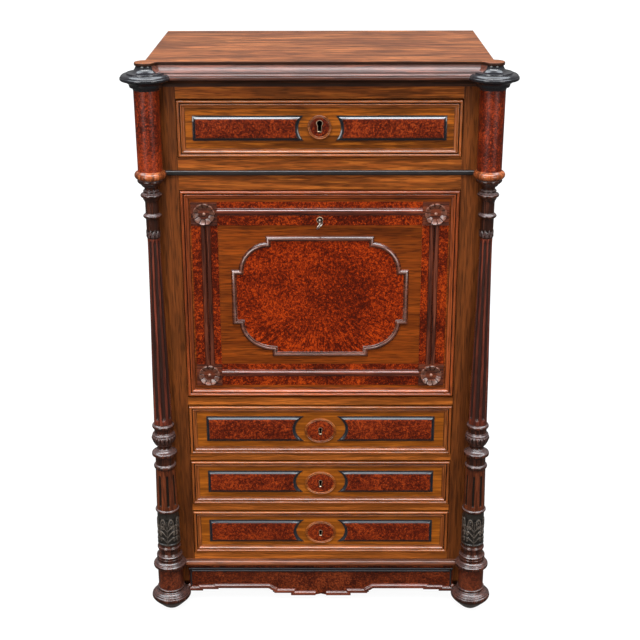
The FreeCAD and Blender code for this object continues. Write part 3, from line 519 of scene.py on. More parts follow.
def ebony(name, base=(0.010, 0.0098, 0.0115, 1.0), rub_and_highlight=(0.04, 0.026, 0.02, 1.0), rough=(0.13, 0.2), spec=0.5, coat=0.0, axis="X", amount=0.12):
    """black polish with a little brown showing where it is rubbed"""
    n = Nodes(name)
    g = n.map(n.co, rot=ROT[axis])
    fib = n.noise(n.map(g, scale=(14.0, 300.0, 300.0)), 1.0, 3.0, 0.6)
    cl = n.noise(n.co, 38.0, 4.0, 0.6)
    col = n.mix(n.math("MULTIPLY", n.ramp(cl, (0.5, 0.0), (0.72, 1.0)), amount), base, rub_and_highlight)
    # wear and painted highlight: a paler rubbed colour on carved crests
    col = n.mix(n.math("MULTIPLY", n.attr("wear"), n.ramp(n.noise(n.co, 240.0, 3.0, 0.6), (0.3, 0.2), (0.65, 1.0))), col, tuple(c * 2.4 for c in rub_and_highlight[:3]) + (1.0,))
    # painted shade: darker where the tone attribute is set
    col = n.mix(n.attr("tone"), col, tuple(c * 0.35 for c in base[:3]) + (1.0,))
    n.set(Base_Color=col, Roughness=n.ramp(n.math("ADD", n.math("MULTIPLY", cl, 0.7), n.math("MULTIPLY", fib, 0.3)), (0.35, rough[0]), (0.65, rough[1])),
          Specular_IOR_Level=spec, Coat_Weight=coat, Coat_Roughness=0.12)
    n.bump(n.math("ADD", n.math("MULTIPLY", fib, 0.6), n.math("MULTIPLY", cl, 0.4)), 0.05, 0.0004)
    return n.m


def metal(name, base, tarnish, rough=(0.22, 0.45), scale=120.0, amount=0.6):
    n = Nodes(name)
    a = n.noise(n.co, scale, 4.0, 0.65, 0.4)
    b = n.noise(n.co, scale * 6, 3.0, 0.6)
    col = n.mix(n.math("MULTIPLY", n.ramp(a, (0.42, 0.0), (0.68, 1.0)), amount), base, tarnish)
    n.set(Base_Color=col, Metallic=1.0, Roughness=n.ramp(n.math("ADD", n.math("MULTIPLY", a, 0.6), n.math("MULTIPLY", b, 0.4)), (0.35, rough[0]), (0.68, rough[1])))
    n.bump(b, 0.15, 0.0003)
    return n.m


def leather(name, base, deep):
    n = Nodes(name)
    cells = n.voronoi(n.co, 620.0, "DISTANCE_TO_EDGE")
    cl = n.noise(n.co, 14.0, 4.0, 0.6)
    gr = n.noise(n.co, 900.0, 3.0, 0.6)
    col = n.ramp(cl, (0.32, deep), (0.7, base))
    col = n.mix(n.math("MULTIPLY", n.ramp(cells, (0.0, 1.0), (0.12, 0.0)), 0.5), col, tuple(c * 0.5 for c in deep[:3]) + (1.0,))
    n.set(Base_Color=col, Roughness=n.ramp(cl, (0.3, 0.42), (0.7, 0.6)), Specular_IOR_Level=0.35)
    n.bump(n.math("ADD", n.ramp(cells, (0.0, 0.0), (0.16, 1.0)), n.math("MULTIPLY", gr, 0.4)), 0.35, 0.0005)
    return n.m


# long-grained case veneer
CD, CM, CL = lin(65, 30, 8), lin(132, 67, 23), lin(168, 93, 34)
SD, SM, SL = lin(50, 23, 8), lin(92, 46, 17), lin(116, 61, 24)
# painted light: low= makes the veneer across paler towards the bottom
m_rail = wood("case_veneer_across", CD, CM, CL, "X", 1.1, low=(0.60, 0.70, 0.15))
m_stile = wood("case_veneer_upright", SD, SM, SL, "Z", 1.9, streak=0.3, fibre=0.6)
m_side = wood("case_veneer_side", SD, SM, SL, "Z", 4.4, figure=(1.0, 11.0), streak=0.4, fibre=0.5, pores=0.35)
m_side_r = wood("case_veneer_side_rail", SD, SM, SL, "Y", 5.2, streak=0.4, fibre=0.5, pores=0.35)
# painted light: low= makes the drawer veneer paler towards the bottom
m_ground = wood("drawer_veneer", lin(62, 29, 5), lin(122, 61, 12), lin(160, 88, 23), "X", 2.6, streak=0.6, figure=(1.5, 20.0), wave=0.9, low=(0.60, 0.70, 0.2))
m_fall = wood("fall_veneer", lin(55, 22, 4), lin(106, 45, 8), lin(140, 65, 13), "X", 6.1, streak=0.5, figure=(1.2, 24.0), wave=0.8, fine=1.35, fibre=0.55)
MD, MM, ML = lin(70, 32, 11), lin(126, 64, 24), lin(160, 89, 39)
m_mould_h = wood("moulding_across", MD, MM, ML, "X", 3.1, rough=(0.16, 0.24), spec=0.5, bump=0.05, streak=0.4, fibre=0.4, painted_shade_colour=lin(30, 12, 6))
m_mould_v = wood("moulding_upright", MD, MM, ML, "Z", 3.7, rough=(0.16, 0.24), spec=0.5, bump=0.05, streak=0.4, fibre=0.4, painted_shade_colour=lin(30, 12, 6))
m_fmould_h = wood("fall_moulding_across", lin(66, 26, 10), lin(122, 54, 22), lin(156, 76, 34), "X", 3.2, rough=(0.16, 0.24), spec=0.5, bump=0.05, streak=0.4, fibre=0.35, painted_shade_colour=lin(28, 11, 6))
m_fmould_v = wood("fall_moulding_upright", lin(66, 26, 10), lin(122, 54, 22), lin(156, 76, 34), "Z", 3.8, rough=(0.16, 0.24), spec=0.5, bump=0.05, streak=0.4, fibre=0.35, painted_shade_colour=lin(28, 11, 6))
m_base = wood("base_moulding_wood", lin(52, 24, 12), lin(96, 48, 24), lin(126, 68, 36), "X", 3.3, rough=(0.18, 0.26), spec=0.4, bump=0.06, streak=0.4, fibre=0.4, painted_shade_colour=lin(24, 10, 6))
m_top = wood("top_veneer", lin(54, 26, 11), lin(112, 60, 31), lin(152, 90, 48), "X", 7.7, streak=0.9, figure=(3.0, 14.0), wave=1.4, rough=(0.4, 0.56), spec=0.12, fine=0.55, fibre=0.7, painted_shade_colour=lin(26, 12, 7))
m_corn_h = wood("cornice_veneer", lin(48, 24, 18), lin(88, 46, 33), lin(118, 65, 46), "X", 8.3, bump=0.06, rough=(0.32, 0.44), spec=0.5, streak=0.4, painted_shade_colour=lin(18, 8, 5))
m_corn_s = wood("cornice_veneer_side", lin(48, 24, 18), lin(88, 46, 33), lin(118, 65, 46), "Y", 8.9, bump=0.06, rough=(0.32, 0.44), spec=0.5, streak=0.4, painted_shade_colour=lin(18, 8, 5))
m_bed = wood("bed_moulding_dark", lin(30, 14, 7), lin(50, 25, 12), lin(70, 37, 18), "X", 9.2, rough=(0.34, 0.5), spec=0.2)
# turned and carved dark work
# turned_dark's pale grey wear_and_highlight_colour shows painted highlights on the rings' shoulders, and wear and
# painted highlight on carved crests
m_turn = wood("turned_dark", lin(28, 12, 7), lin(52, 24, 15), lin(76, 38, 24), "Z", 2.2, figure=(1.6, 26.0), rough=(0.14, 0.2), spec=0.45,
              painted_shade_colour=lin(18, 9, 7), wear_and_highlight_colour=lin(128, 114, 114), bump=0.03, streak=0.5)
m_collar = wood("collar_brown", lin(76, 34, 16), lin(130, 64, 30), lin(164, 88, 44), "Z", 2.5, figure=(1.6, 26.0), rough=(0.18, 0.26), spec=0.4, bump=0.04, streak=0.4)
m_shaft = wood("fluted_shaft", lin(48, 19, 13), lin(86, 37, 25), lin(116, 53, 37), "Z", 2.9, figure=(1.6, 30.0), rough=(0.22, 0.32), spec=0.3,
               painted_shade_colour=lin(38, 21, 17), wear_and_highlight_colour=lin(120, 70, 50), bump=0.04, streak=0.5)
m_flat = wood("fluted_drum", lin(47, 19, 10), lin(81, 37, 20), lin(107, 53, 28), "Z", 3.4, figure=(2.0, 34.0), rough=(0.22, 0.32), spec=0.25,
              painted_shade_colour=lin(20, 14, 10), bump=0.04, streak=0.4)
# carved_dark's and carved_block's pale wear_and_highlight_colour paints highlights on the cartouche crest and the
# rosette petals
m_carv = wood("carved_dark", lin(42, 18, 11), lin(76, 36, 22), lin(106, 54, 34), "X", 1.4, figure=(3.0, 40.0), rough=(0.14, 0.22), spec=0.6,
              painted_shade_colour=lin(20, 9, 6), wear_and_highlight_colour=lin(176, 136, 124), bump=0.03, streak=0.35)
m_ros = wood("carved_block", lin(45, 17, 9), lin(80, 34, 19), lin(108, 50, 28), "X", 3.9, figure=(3.0, 40.0), rough=(0.2, 0.3), spec=0.6,
             painted_shade_colour=lin(28, 12, 8), wear_and_highlight_colour=lin(178, 132, 110), bump=0.04, streak=0.35)
m_reed = wood("reeds_dark", lin(41, 17, 10), lin(75, 34, 21), lin(103, 50, 32), "Z", 5.5, rough=(0.18, 0.28), spec=0.4, bump=0.04, streak=0.4)
m_bead = wood("bead_dark", lin(50, 19, 11), lin(90, 38, 23), lin(120, 56, 34), "X", 6.6, rough=(0.16, 0.22), spec=0.7, bump=0.03, streak=0.4)
# burrs
BD, BM, BB, BS = lin(65, 16, 6), lin(102, 29, 7), lin(152, 55, 10), lin(34, 8, 5)
m_burr = burr("burr", BD, BM, BB, BS, 0.4)
m_burr_drum = burr("burr_drum", lin(67, 16, 5), lin(104, 32, 9), lin(146, 52, 13), lin(36, 9, 5), 3.3, spec=0.2)
m_burr_panel = burr("burr_panel", lin(65, 18, 8), lin(96, 30, 11), lin(140, 54, 18), lin(34, 9, 6), 5.1, spread=0.7)
m_burr_fall = burr("burr_fall", lin(76, 18, 5), lin(114, 32, 6), lin(156, 53, 8), lin(42, 9, 5), 7.9, patch=11.0, spread=0.6, rays=((0.0, 0.0, 0.93), 0.08, 0.20),
                   heart=((0.05, 0.0, 0.96), 0.18, 0.02))
m_burr_apron = burr("burr_apron", lin(52, 18, 9), lin(82, 31, 14), lin(115, 50, 23), lin(30, 9, 7), 9.4, patch=20.0)
m_burr_foot = burr("burr_foot", lin(51, 18, 9), lin(78, 31, 14), lin(104, 46, 22), lin(31, 10, 6), 2.4, patch=26.0, spec=0.25)
# blacks
m_ebony = ebony("black_polish", spec=0.4)
m_border = ebony("black_border", base=(0.011, 0.011, 0.013, 1.0), amount=0.06)
m_sleeve = ebony("black_carved", base=(0.014, 0.011, 0.009, 1.0), rub_and_highlight=(0.085, 0.066, 0.052, 1.0), rough=(0.24, 0.36), spec=0.35, axis="Z", amount=0.15)
m_string = ebony("black_string", base=(0.014, 0.012, 0.012, 1.0), rub_and_highlight=(0.05, 0.028, 0.02, 1.0), spec=0.3, amount=0.2)
# inside
m_oak = wood("inner_oak", lin(92, 62, 34), lin(138, 102, 62), lin(168, 130, 86), "X", 1.1, rough=(0.5, 0.68), spec=0.2, streak=0.3, pores=0.3, fibre=0.3)
m_oak_y = wood("inner_oak_deep", lin(92, 62, 34), lin(138, 102, 62), lin(168, 130, 86), "Y", 1.6, rough=(0.5, 0.68), spec=0.2, streak=0.3, pores=0.3, fibre=0.3)
m_oak_z = wood("inner_oak_upright", lin(82, 54, 30), lin(122, 88, 54), lin(150, 114, 74), "Z", 4.1, rough=(0.5, 0.68), spec=0.2, streak=0.3, pores=0.3, fibre=0.3)
m_desk = wood("desk_veneer", lin(98, 50, 18), lin(144, 84, 36), lin(174, 112, 54), "X", 5.8, rough=(0.32, 0.46), spec=0.2, streak=0.4, fibre=0.5)
m_desk_y = wood("desk_veneer_deep", lin(90, 46, 17), lin(134, 77, 33), lin(164, 104, 50), "Y", 6.9, rough=(0.32, 0.46), spec=0.2, streak=0.4, fibre=0.5)
m_brass = metal("aged_brass", (0.50, 0.33, 0.13, 1.0), (0.16, 0.09, 0.035, 1.0))
m_lining = metal("lining_brass", (0.52, 0.42, 0.29, 1.0), (0.24, 0.17, 0.10, 1.0), rough=(0.3, 0.46), amount=0.5)
m_steel = metal("worn_steel", (0.50, 0.47, 0.44, 1.0), (0.20, 0.16, 0.13, 1.0), rough=(0.26, 0.42), amount=0.6)
m_key = metal("key_metal", (0.34, 0.30, 0.26, 1.0), (0.16, 0.13, 0.11, 1.0), rough=(0.34, 0.46), amount=0.5)
m_leather = leather("green_leather", lin(38, 54, 36), lin(28, 41, 28))
# painted shade: near-black for the insides of the keyholes
m_painted_hole_shade = ebony("painted_hole_shade", base=(0.002, 0.0017, 0.0014, 1.0), rub_and_highlight=(0.004, 0.003, 0.002, 1.0), rough=(0.7, 0.9), spec=0.05, coat=0.0)

# ------------------------------------------------------------------ CAD pieces that keep their shape
for name, mat in (("stile_left", m_stile), ("stile_right", m_stile), ("front_rails", m_rail), ("fall_board", m_fall),
                  ("fall_bands", m_burr), ("fall_cartouche_panel", m_burr_fall), ("apron", m_burr_apron), ("carcase_boards", m_oak), ("back_panel", m_oak_z),
                  ("drawer_runners", m_oak_y), ("desk_boards", m_desk), ("gallery", m_desk_y), ("small_drawer_left", m_desk), ("small_drawer_right", m_desk),
                  ("fall_lock", m_brass), ("fall_pivots", m_brass), ("fall_quadrants", m_brass), ("fall_bolt", m_steel),
                  ("rear_feet", m_turn), *[("drawer_%s_box" % d, m_oak_y) for d in ("top", "upper", "middle", "lower")]):
    o = N[name]
    o.data.materials.clear()
    o.data.materials.append(mat)
    if name not in ("fall_cartouche_panel", "fall_bands"):
        wl = o.modifiers.new("weld", "WELD")
        wl.merge_threshold = 0.00002
        bv = o.modifiers.new("ease", "BEVEL")
        bv.width = 0.0006
        bv.segments = 2
        bv.limit_method = "ANGLE"
        bv.angle_limit = math.radians(50)
        bv.harden_normals = True

# ------------------------------------------------------------------ corner columns
cap_prof = [(21.5, 1413.0), (21.5, 1411.5), (38.0, 1397.5, -4.0), (43.0, 1397.0), (43.0, 1394.0),
            (46.0, 1393.5), (57.0, 1387.0, 2.6), (58.4, 1386.0), (58.4, 1382.0), (55.5, 1379.5, 0.6),
            (41.0, 1372.5, -1.0), (38.5, 1371.5), (38.5, 1368.0), (37.0, 1364.0), (30.0, 1357.5, -2.0)]
drum_prof = [(29.4, 1358.5), (28.6, 1170.0)]
collar_prof = [(29.5, 1171.0), (31.0, 1169.5), (31.0, 1152.0, 6.0), (29.0, 1151.0)]
neck_prof = [(29.4, 1151.5), (30.0, 1150.5), (30.0, 1144.5, 1.0),
             (27.0, 1141.5), (23.0, 1138.0, -0.6), (20.5, 1134.5), (16.0, 1131.5), (15.6, 1126.0),
             (17.2, 1125.0), (17.2, 1120.0, 1.9), (17.6, 1119.0), (19.4, 1117.8), (23.8, 1116.0, -0.5), (24.4, 1115.6),
             (24.4, 1109.6, 1.2), (23.2, 1108.6), (19.6, 1102.4, -1.0), (16.4, 1096.0, -0.7), (15.9, 1094.5), (15.9, 1069.6),
             (16.8, 1069.0), (20.0, 1065.8, -0.5), (20.6, 1065.4), (20.6, 1059.8, 1.2), (19.8, 1059.0), (16.4, 1055.6, -0.5),
             (15.9, 1054.8), (15.6, 1030.0), (15.7, 1028.0), (15.7, 1013.0), (15.2, 1010.5), (15.0, 1008.5)]
shaft_prof = [(14.8, 1009.5), (15.0, 964.0), (17.2, 825.0), (20.6, 668.0), (22.6, 527.5)]
vase_prof = [(22.8, 528.0), (22.8, 526.6), (23.8, 526.0), (24.2, 515.6, 3.7), (23.0, 514.6), (22.9, 504.0), (23.7, 503.2),
             (27.0, 499.2, -0.5), (27.6, 498.8), (27.6, 497.0, 0.3), (27.0, 496.2), (27.7, 495.2), (28.6, 484.0, 2.0),
             (26.4, 478.0, 0.4), (19.4, 467.4, 0.8), (16.8, 464.6, -0.3), (16.8, 462.4), (20.4, 457.0, -0.8),
             (28.2, 450.8, -0.9), (29.4, 450.0), (31.4, 446.4, 0.6), (31.5, 443.4, 0.2), (30.6, 441.4, 0.4),
             (25.4, 437.4, -0.5), (23.6, 435.6), (23.6, 417.2), (24.4, 416.4), (24.8, 404.6, 3.8), (24.6, 404.0)]
lower_prof = [(24.6, 404.5), (26.8, 291.0)]
ring_prof = [(27.2, 291.5), (27.4, 290.8), (27.4, 282.8, 3.0), (26.6, 281.8), (26.4, 281.2)]
band_prof = [(26.5, 281.9), (26.6, 266.5)]
sleeve_prof = [(26.1, 267.4), (27.1, 190.6)]
base_prof = [(26.8, 191.0), (27.0, 187.6), (28.8, 181.8, -0.5), (29.4, 181.0), (29.6, 175.2, 0.8), (28.6, 174.2),
             (27.4, 171.2, -0.5), (27.4, 167.0), (29.2, 160.6, -0.7), (32.0, 156.4, -0.3), (32.8, 155.8), (33.0, 151.6, 0.4),
             (32.2, 150.6), (32.2, 149.4), (32.6, 145.6, 0.7), (31.6, 144.4), (31.6, 140.6), (33.0, 138.4, -0.3),
             (36.4, 136.4, -0.3), (37.0, 136.0), (37.2, 134.4), (38.4, 133.8), (40.8, 130.6, -0.3), (41.4, 130.2),
             (41.6, 123.0, 0.8), (40.4, 121.8), (35.0, 121.0)]
plinth_prof = [(32.2, 121.5), (32.0, 60.5)]
foot_prof = [(33.0, 61.0), (34.2, 60.4), (34.4, 54.8, 1.3), (33.8, 53.6), (35.6, 52.2), (41.6, 46.8, -0.6), (42.2, 46.2), (42.4, 45.2),
             (45.4, 43.2, 0.3), (46.0, 42.4), (45.8, 41.4), (47.2, 40.8), (49.6, 37.6, 0.7), (50.2, 34.6, 0.2), (49.2, 30.8, 0.4),
             (44.0, 24.0, 0.4), (35.2, 15.2, 0.3), (27.6, 7.2, 0.3), (20.4, 0.8, 0.2), (19.4, 0.0)]


def fluted(z1, z0, r1, r0, fr1, fr0, n, deep):
    def mod(r, z, th):
        if z > z1 or z < z0:
            return r, 0.0, 0.0
        k = (z - z0) / (z1 - z0)
        rr, fr = r0 + (r1 - r0) * k + deep, fr0 + (fr1 - fr0) * k
        end = min(z1 - z, z - z0)
        if end < fr:
            fr = math.sqrt(max(0.0, fr * fr - (fr - end) ** 2))
        ph = (th * n / (2 * math.pi) - n * 8.5 / 360.0) % 1.0 - 0.5
        a = ph * 2 * math.pi / n
        s = rr * math.sin(a)
        if abs(s) >= fr:
            return r, 0.0, 0.0
        g = rr * math.cos(a) - math.sqrt(fr * fr - s * s)
        if g >= r:
            return r, 0.0, 0.0
        # painted shade: the flute is darker the deeper it is cut
        return g, min(1.0, (r - g) / 1.1), 0.0
    return mod


shaft_mod = fluted(1003.0, 540.0, 14.85, 22.4, 4.2, 5.5, 8, 1.5)


def neck_mod(r, z, th):
    """ring of small pointed leaves at the foot of the neck; painted shade between the leaves, and lighter leaf crests
    as wear and painted highlight
    """
    if z > 1029.0 or z < 1010.0:
        return r, 0.0, 0.0
    v = (z - 1010.0) / 19.0
    best = 0.0
    for row, (v0, v1) in enumerate(((0.0, 0.62), (0.34, 1.0))):
        u = abs((th * 10 / (2 * math.pi) + 0.5 * row) % 1.0 - 0.5) * 2.0
        t = (v - v0) / (v1 - v0)
        if 0.0 < t < 1.0:
            w = math.sin(math.pi * min(1.0, 0.35 + 0.65 * t)) if t > 0.23 else 1.0
            if u < w:
                best = max(best, math.sqrt(1 - (u / w) ** 2) * (0.7 + 0.3 * math.sin(math.pi * t)) - 0.25 * math.exp(-(u / 0.12) ** 2))
    return r + 1.3 * best, 0.85 * (1 - min(1.0, best * 1.3)), max(0.0, best - 0.55) * 1.4


def vase_mod(r, z, th):
    """gadroons round the bowl; painted shade between the lobes, and lighter crests as wear and painted highlight"""
    if 478.0 < z < 495.2:
        v = (z - 478.0) / 17.2
        env = math.sin(math.pi * v) ** 0.5
        u = (th * 18 / (2 * math.pi)) % 1.0 - 0.5
        lobe = math.sqrt(max(0.0, 1 - (2 * u) ** 2))
        return r + (lobe - 0.85) * 2.2 * env, (1 - lobe) * 0.95 * env, 0.5 * max(0.0, lobe - 0.6) * env
    return r, 0.0, 0.0


def sleeve_mod(r, z, th):
    """four upright acanthus leaves: a heart of two curled tops, pairs of curling lobes and a beaded rib; the ground
    between the strokes gets painted shade and the stroke crests a painted highlight (rim), brighter on the upper halves
    of the curls
    """
    v = (z - 191.0) / 76.0
    k = (th / (math.pi / 2)) % 1.0
    d = k if k < 0.5 else k - 1.0                   # -0.5 .. 0.5, 0 on a rib
    s = abs(d) * 2.0                                # 0 on a rib, 1 between leaves
    h, rim, t = 0.12, 0.0, 0.9

    def stroke(dist, w, high, edge):
        nonlocal h, rim, t
        q = abs(dist) / w
        if q < 1.0:
            c = math.sqrt(1 - q * q)
            if high * c > h:
                h = high * c
            rim = max(rim, edge * max(0.0, c - 0.55) * 2.2)
            t = min(t, 0.9 - 0.9 * c)

    # body of the leaf, swelling from the foot and drawn in at the waist
    half = 0.62 + 0.30 * math.sin(math.pi * min(1.0, v * 1.05)) - 0.10 * math.sin(2 * math.pi * 2.2 * v)
    if s < half and v < 0.90:
        h, t = 0.42 - 0.18 * (s / half) ** 2, 0.55
    # curled tops: two arches that meet over the rib
    for c0, rad in ((0.50, 0.17),):
        dx, dz = (s - c0) * 0.62, v - 0.80
        # painted highlight: the crest is brighter on the upper half of each curl, the side the light falls on
        stroke(math.hypot(dx, dz) - rad, 0.050, 1.0, 0.9 if dz > -0.02 else 0.35)
        stroke(math.hypot(dx, dz + 0.02) - rad * 0.42, 0.034, 0.8, 0.5)
    # lobes rising and turning out from the rib
    for v0, size, edge in ((0.52, 1.0, 0.8), (0.30, 1.1, 1.0), (0.10, 0.9, 0.55)):
        line = v0 + 0.20 * size * math.sin(math.pi * min(1.0, s * 0.62))
        if s < 0.94:
            stroke(v - line, 0.044, 0.85, edge * (0.35 + 0.65 * min(1.0, s / 0.5)))
        dx, dz = (s - 0.80) * 0.62, v - (v0 + 0.13 * size)
        stroke(math.hypot(dx, dz) - 0.055, 0.046, 1.0, edge * 0.9)
    # rib
    if v < 0.86:
        beads = 0.55 + 0.45 * abs(math.sin(v * 26.0))
        stroke(s, 0.085, 0.75 * beads, 0.35 * beads)
    if v < 0.035:
        h, rim, t = 0.75, 0.15, 0.1
    return r + 2.3 * h, max(0.0, t), 0.62 * min(1.0, rim)


for side in ("right", "left"):
    def turn(name, prof, mat, node, slot, mod=None, **kw):
        v, f, t, w = lathe(prof, side, mod, **kw)
        return make(name + "_" + side, v, f, mat, "case", node + "_" + side, slot, attrs={"tone": t, "wear": w} if mod or kw.get("ledge") else None)

    turn("cap", cap_prof, m_ebony, "column_cap", "ebonised_wood", nseg=128)
    turn("drum", drum_prof, m_burr_drum, "column_drum", "burr_veneer", nseg=96, soft=0.3)
    turn("collar", collar_prof, m_collar, "column", "dark_polished_wood")
    # painted highlight: ledge= paints the upward-facing shoulders of the rings lighter
    turn("neck", neck_prof, m_turn, "column", "dark_polished_wood", mod=neck_mod, nseg=200, most=1.6, ledge=0.24)
    turn("shaft", shaft_prof, m_shaft, "column", "dark_polished_wood", mod=shaft_mod, nseg=240, most=4.0, soft=0.2)
    turn("vase", vase_prof, m_turn, "column", "dark_polished_wood", mod=vase_mod, nseg=252, most=1.6, ledge=0.2)
    turn("lower_drum", lower_prof, m_flat, "column", "dark_polished_wood", mod=fluted(389.0, 301.0, 24.9, 26.6, 3.4, 3.6, 8, 1.2), nseg=240, most=1.5, soft=0.2)
    turn("ring", ring_prof, m_turn, "column", "dark_polished_wood", nseg=128, ledge=0.26)
    turn("band", band_prof, m_sleeve, "column", "ebonised_wood", nseg=112, soft=0.2)
    turn("sleeve", sleeve_prof, m_sleeve, "column_sleeve", "ebonised_wood", mod=sleeve_mod, nseg=240, most=1.0, soft=0.2)
    turn("base", base_prof, m_turn, "column", "dark_polished_wood", nseg=112, ledge=0.13)
    turn("plinth", plinth_prof, m_burr_foot, "front_foot", "dark_polished_wood", nseg=112, soft=0.3)
    turn("foot", foot_prof, m_turn, "front_foot", "dark_polished_wood", nseg=128, notch=False, ledge=0.1)

# ------------------------------------------------------------------ top board, cornice, string, base moulding
def top_outline():
    r = []
    cx, cy, er = COL_X, -COL_OUT, 24.5
    r += [(393.0, 448.0), (-393.0, 448.0)]
    # left ear, anticlockwise seen from above: down the left side, round the ear, along the front
    left = []
    for k in range(25):
        a = math.radians(96) + math.radians(360 - 96 - 54) * k / 24
        left.append((-cx + er * math.cos(a), cy + er * math.sin(a)))
    r += left
    r += [(-362.5, -15.0), (362.5, -15.0)]
    r += [(-p[0], p[1]) for p in reversed(left)]
    return r


to = top_outline()
v, f = slab(to, [(1.2, 1413.0), (0.3, 1413.4), (0.0, 1414.2), (0.0, 1418.0), (0.35, 1419.3), (1.4, 1420.0)], lambda a, b, h: W(a, b, h))
# painted shade: the board's edge and underside are painted dark, the lower arris half as dark
make("top", v, f, m_top, "case", "top_board", "rosewood_veneer", attrs={"tone": [0.9 if k < 4 else 0.45 if k == 4 else 0.0 for k in range(6) for _ in to]})

cor = [(0, 1380.0), (31.0, 1380.0), (33.0, 1382.0, -0.5), (33.0, 1387.0), (31.5, 1387.8), (27.0, 1394.2, -1.4),
       (25.5, 1394.5), (25.5, 1397.0), (14.0, 1411.5, 1.8), (14.0, 1413.0), (0, 1413.0)]
cor = soften(poly(cor), 0.6, True)
j = 29.0
path = [(-371.5 - 0.469 * j, -0.883 * j), (-371.5, 0.0), (371.5, 0.0), (371.5 + 0.469 * j, -0.883 * j)]
v, f = sweep(path, cor, False, plan(0))
# painted shade: dark in the quirks, under the rim and in the fillet under the top board
cornice_painted_shade = [0.55 if z < 1381.5 or 1386.9 < z < 1388.2 or 1394.0 < z < 1397.3 or z > 1411.0 else 0.0 for _, z in cor]
make("cornice_front", v, f, m_corn_h, "case", "cornice", "rosewood_veneer", attrs={"tone": cornice_painted_shade * len(path)})
sd = Mesh()
v, f = sweep([(376.0, -6.0), (376.0, 448.0)], cor, False, plan(0))
sd.add(v, f, tone=cornice_painted_shade * 2).add(mirror_x(v), f, tone=cornice_painted_shade * 2)
sd.make("cornice_sides", m_corn_s, node="cornice", slot="rosewood_veneer")
bed = soften(poly([(0, 1361.0), (3.0, 1361.0), (3.0, 1363.0), (13.0, 1378.0, 3.0), (13.0, 1380.0), (0, 1380.0)]), 0.5, True)
v, f = sweep([(-366.0, 0.0), (366.0, 0.0)], bed, False, plan(0))
make("bed_moulding", v, f, m_bed, "case", "cornice", "rosewood_veneer")

st = soften(poly([(0, 1154.5), (5.6, 1160.5, -2.4), (0, 1166.5, -2.4)]), 0.3, True)
q = Mesh()
v, f = sweep([(-366.0, 0.0), (366.0, 0.0)], st, False, plan(0))
q.add(v, f)
v, f = sweep([(CASE_HALF, 8.0), (CASE_HALF, 448.0)], st, False, plan(0))
q.add(v, f).add(mirror_x(v), f)
q.make("string_bead", m_string, node="waist_string", slot="ebonised_wood")

bm_p = soften(poly([(0, 110.5), (7.0, 110.5), (10.5, 118.6, -2.4), (9.4, 120.2), (4.4, 124.4, 0.9), (3.4, 124.4), (3.4, 125.6), (4.6, 126.0), (4.6, 127.2), (3.8, 127.5), (0, 127.5)]), 0.4, True)
# painted shade: dark in the hollow under the top fillet
base_mould_painted_shade = [1.0 if x < 4.0 and 124.0 < z < 125.9 else 0.0 for x, z in bm_p]
q = Mesh()
v, f = sweep([(-362.0, 0.0), (362.0, 0.0)], bm_p, False, plan(0))
q.add(v, f, tone=base_mould_painted_shade * 2)
v, f = sweep([(CASE_HALF, 12.0), (CASE_HALF, 448.0)], bm_p, False, plan(0))
q.add(v, f, tone=base_mould_painted_shade * 2).add(mirror_x(v), f, tone=base_mould_painted_shade * 2)
q.make("base_mould", m_base, node="base_moulding", slot="rosewood_veneer")

# ------------------------------------------------------------------ case sides: frame and fielded panels
for side, sx in (("right", 1), ("left", -1)):
    SI = CASE_HALF - 22.0
    fs, rs = 86.0, 372.0
    up, ac = Mesh(), Mesh()

    def side_board(m, y0, y1, z0, z1, x0=SI, x1=CASE_HALF):
        v, f = board(x0, x1, y0, y1, z0, z1, 0.9)
        m.add(v if sx > 0 else mirror_x(v), f)

    side_board(up, 24.0, fs, 100.0, 1388.0)
    side_board(up, rs, 448.0, 100.0, 1388.0)
    for a, b in ((100.0, 190.0), (1120.0, 1200.0), (1318.0, 1388.0)):
        side_board(ac, fs, rs, a, b)
    for a, b in ((190.0, 1120.0), (1200.0, 1318.0)):
        # field raised in the middle, sloping to a thin edge
        rect = [(fs, a), (rs, a), (rs, b), (fs, b)]
        lv = [(0.0, SI + 4.0), (0.0, CASE_HALF - 14.0), (26.0, CASE_HALF - 9.5), (27.0, CASE_HALF - 7.6), (28.5, CASE_HALF - 7.0)]
        v, f = slab(rect, lv, lambda p, q2, h: W(h, p, q2))
        up.add(v if sx > 0 else mirror_x(v), f)
        bead = soften(poly([(0, 0), (0, 9.0), (7.0, 2.0, 1.2), (7.0, 0)]), 0.5, True)
        hor, ver = split_frame(fs, rs, a, b, bead, 0.0)
        for src, dst in ((hor, ac), (ver, up)):
            vv = [((CASE_HALF - 11.0) * S - (p[1] - Y0 * S), (p[0] / S + Y0) * S, p[2]) for p in src.v]
            dst.add(vv if sx > 0 else mirror_x(vv), src.f)
    up.make("side_uprights_" + side, m_side, node="side_" + side, slot="rosewood_veneer")
    ac.make("side_rails_" + side, m_side_r, node="side_" + side, slot="rosewood_veneer")

# ------------------------------------------------------------------ apron beads
def bead_prof(w, h):
    return soften(poly([(-w / 2, 0.0), (-w / 2, h * 0.35), (-w * 0.12, h, 0.18 * w), (w * 0.30, h * 0.62, 0.08 * w), (w / 2, h * 0.3, -0.04 * w), (w / 2, 0.0)]), 0.4, True)


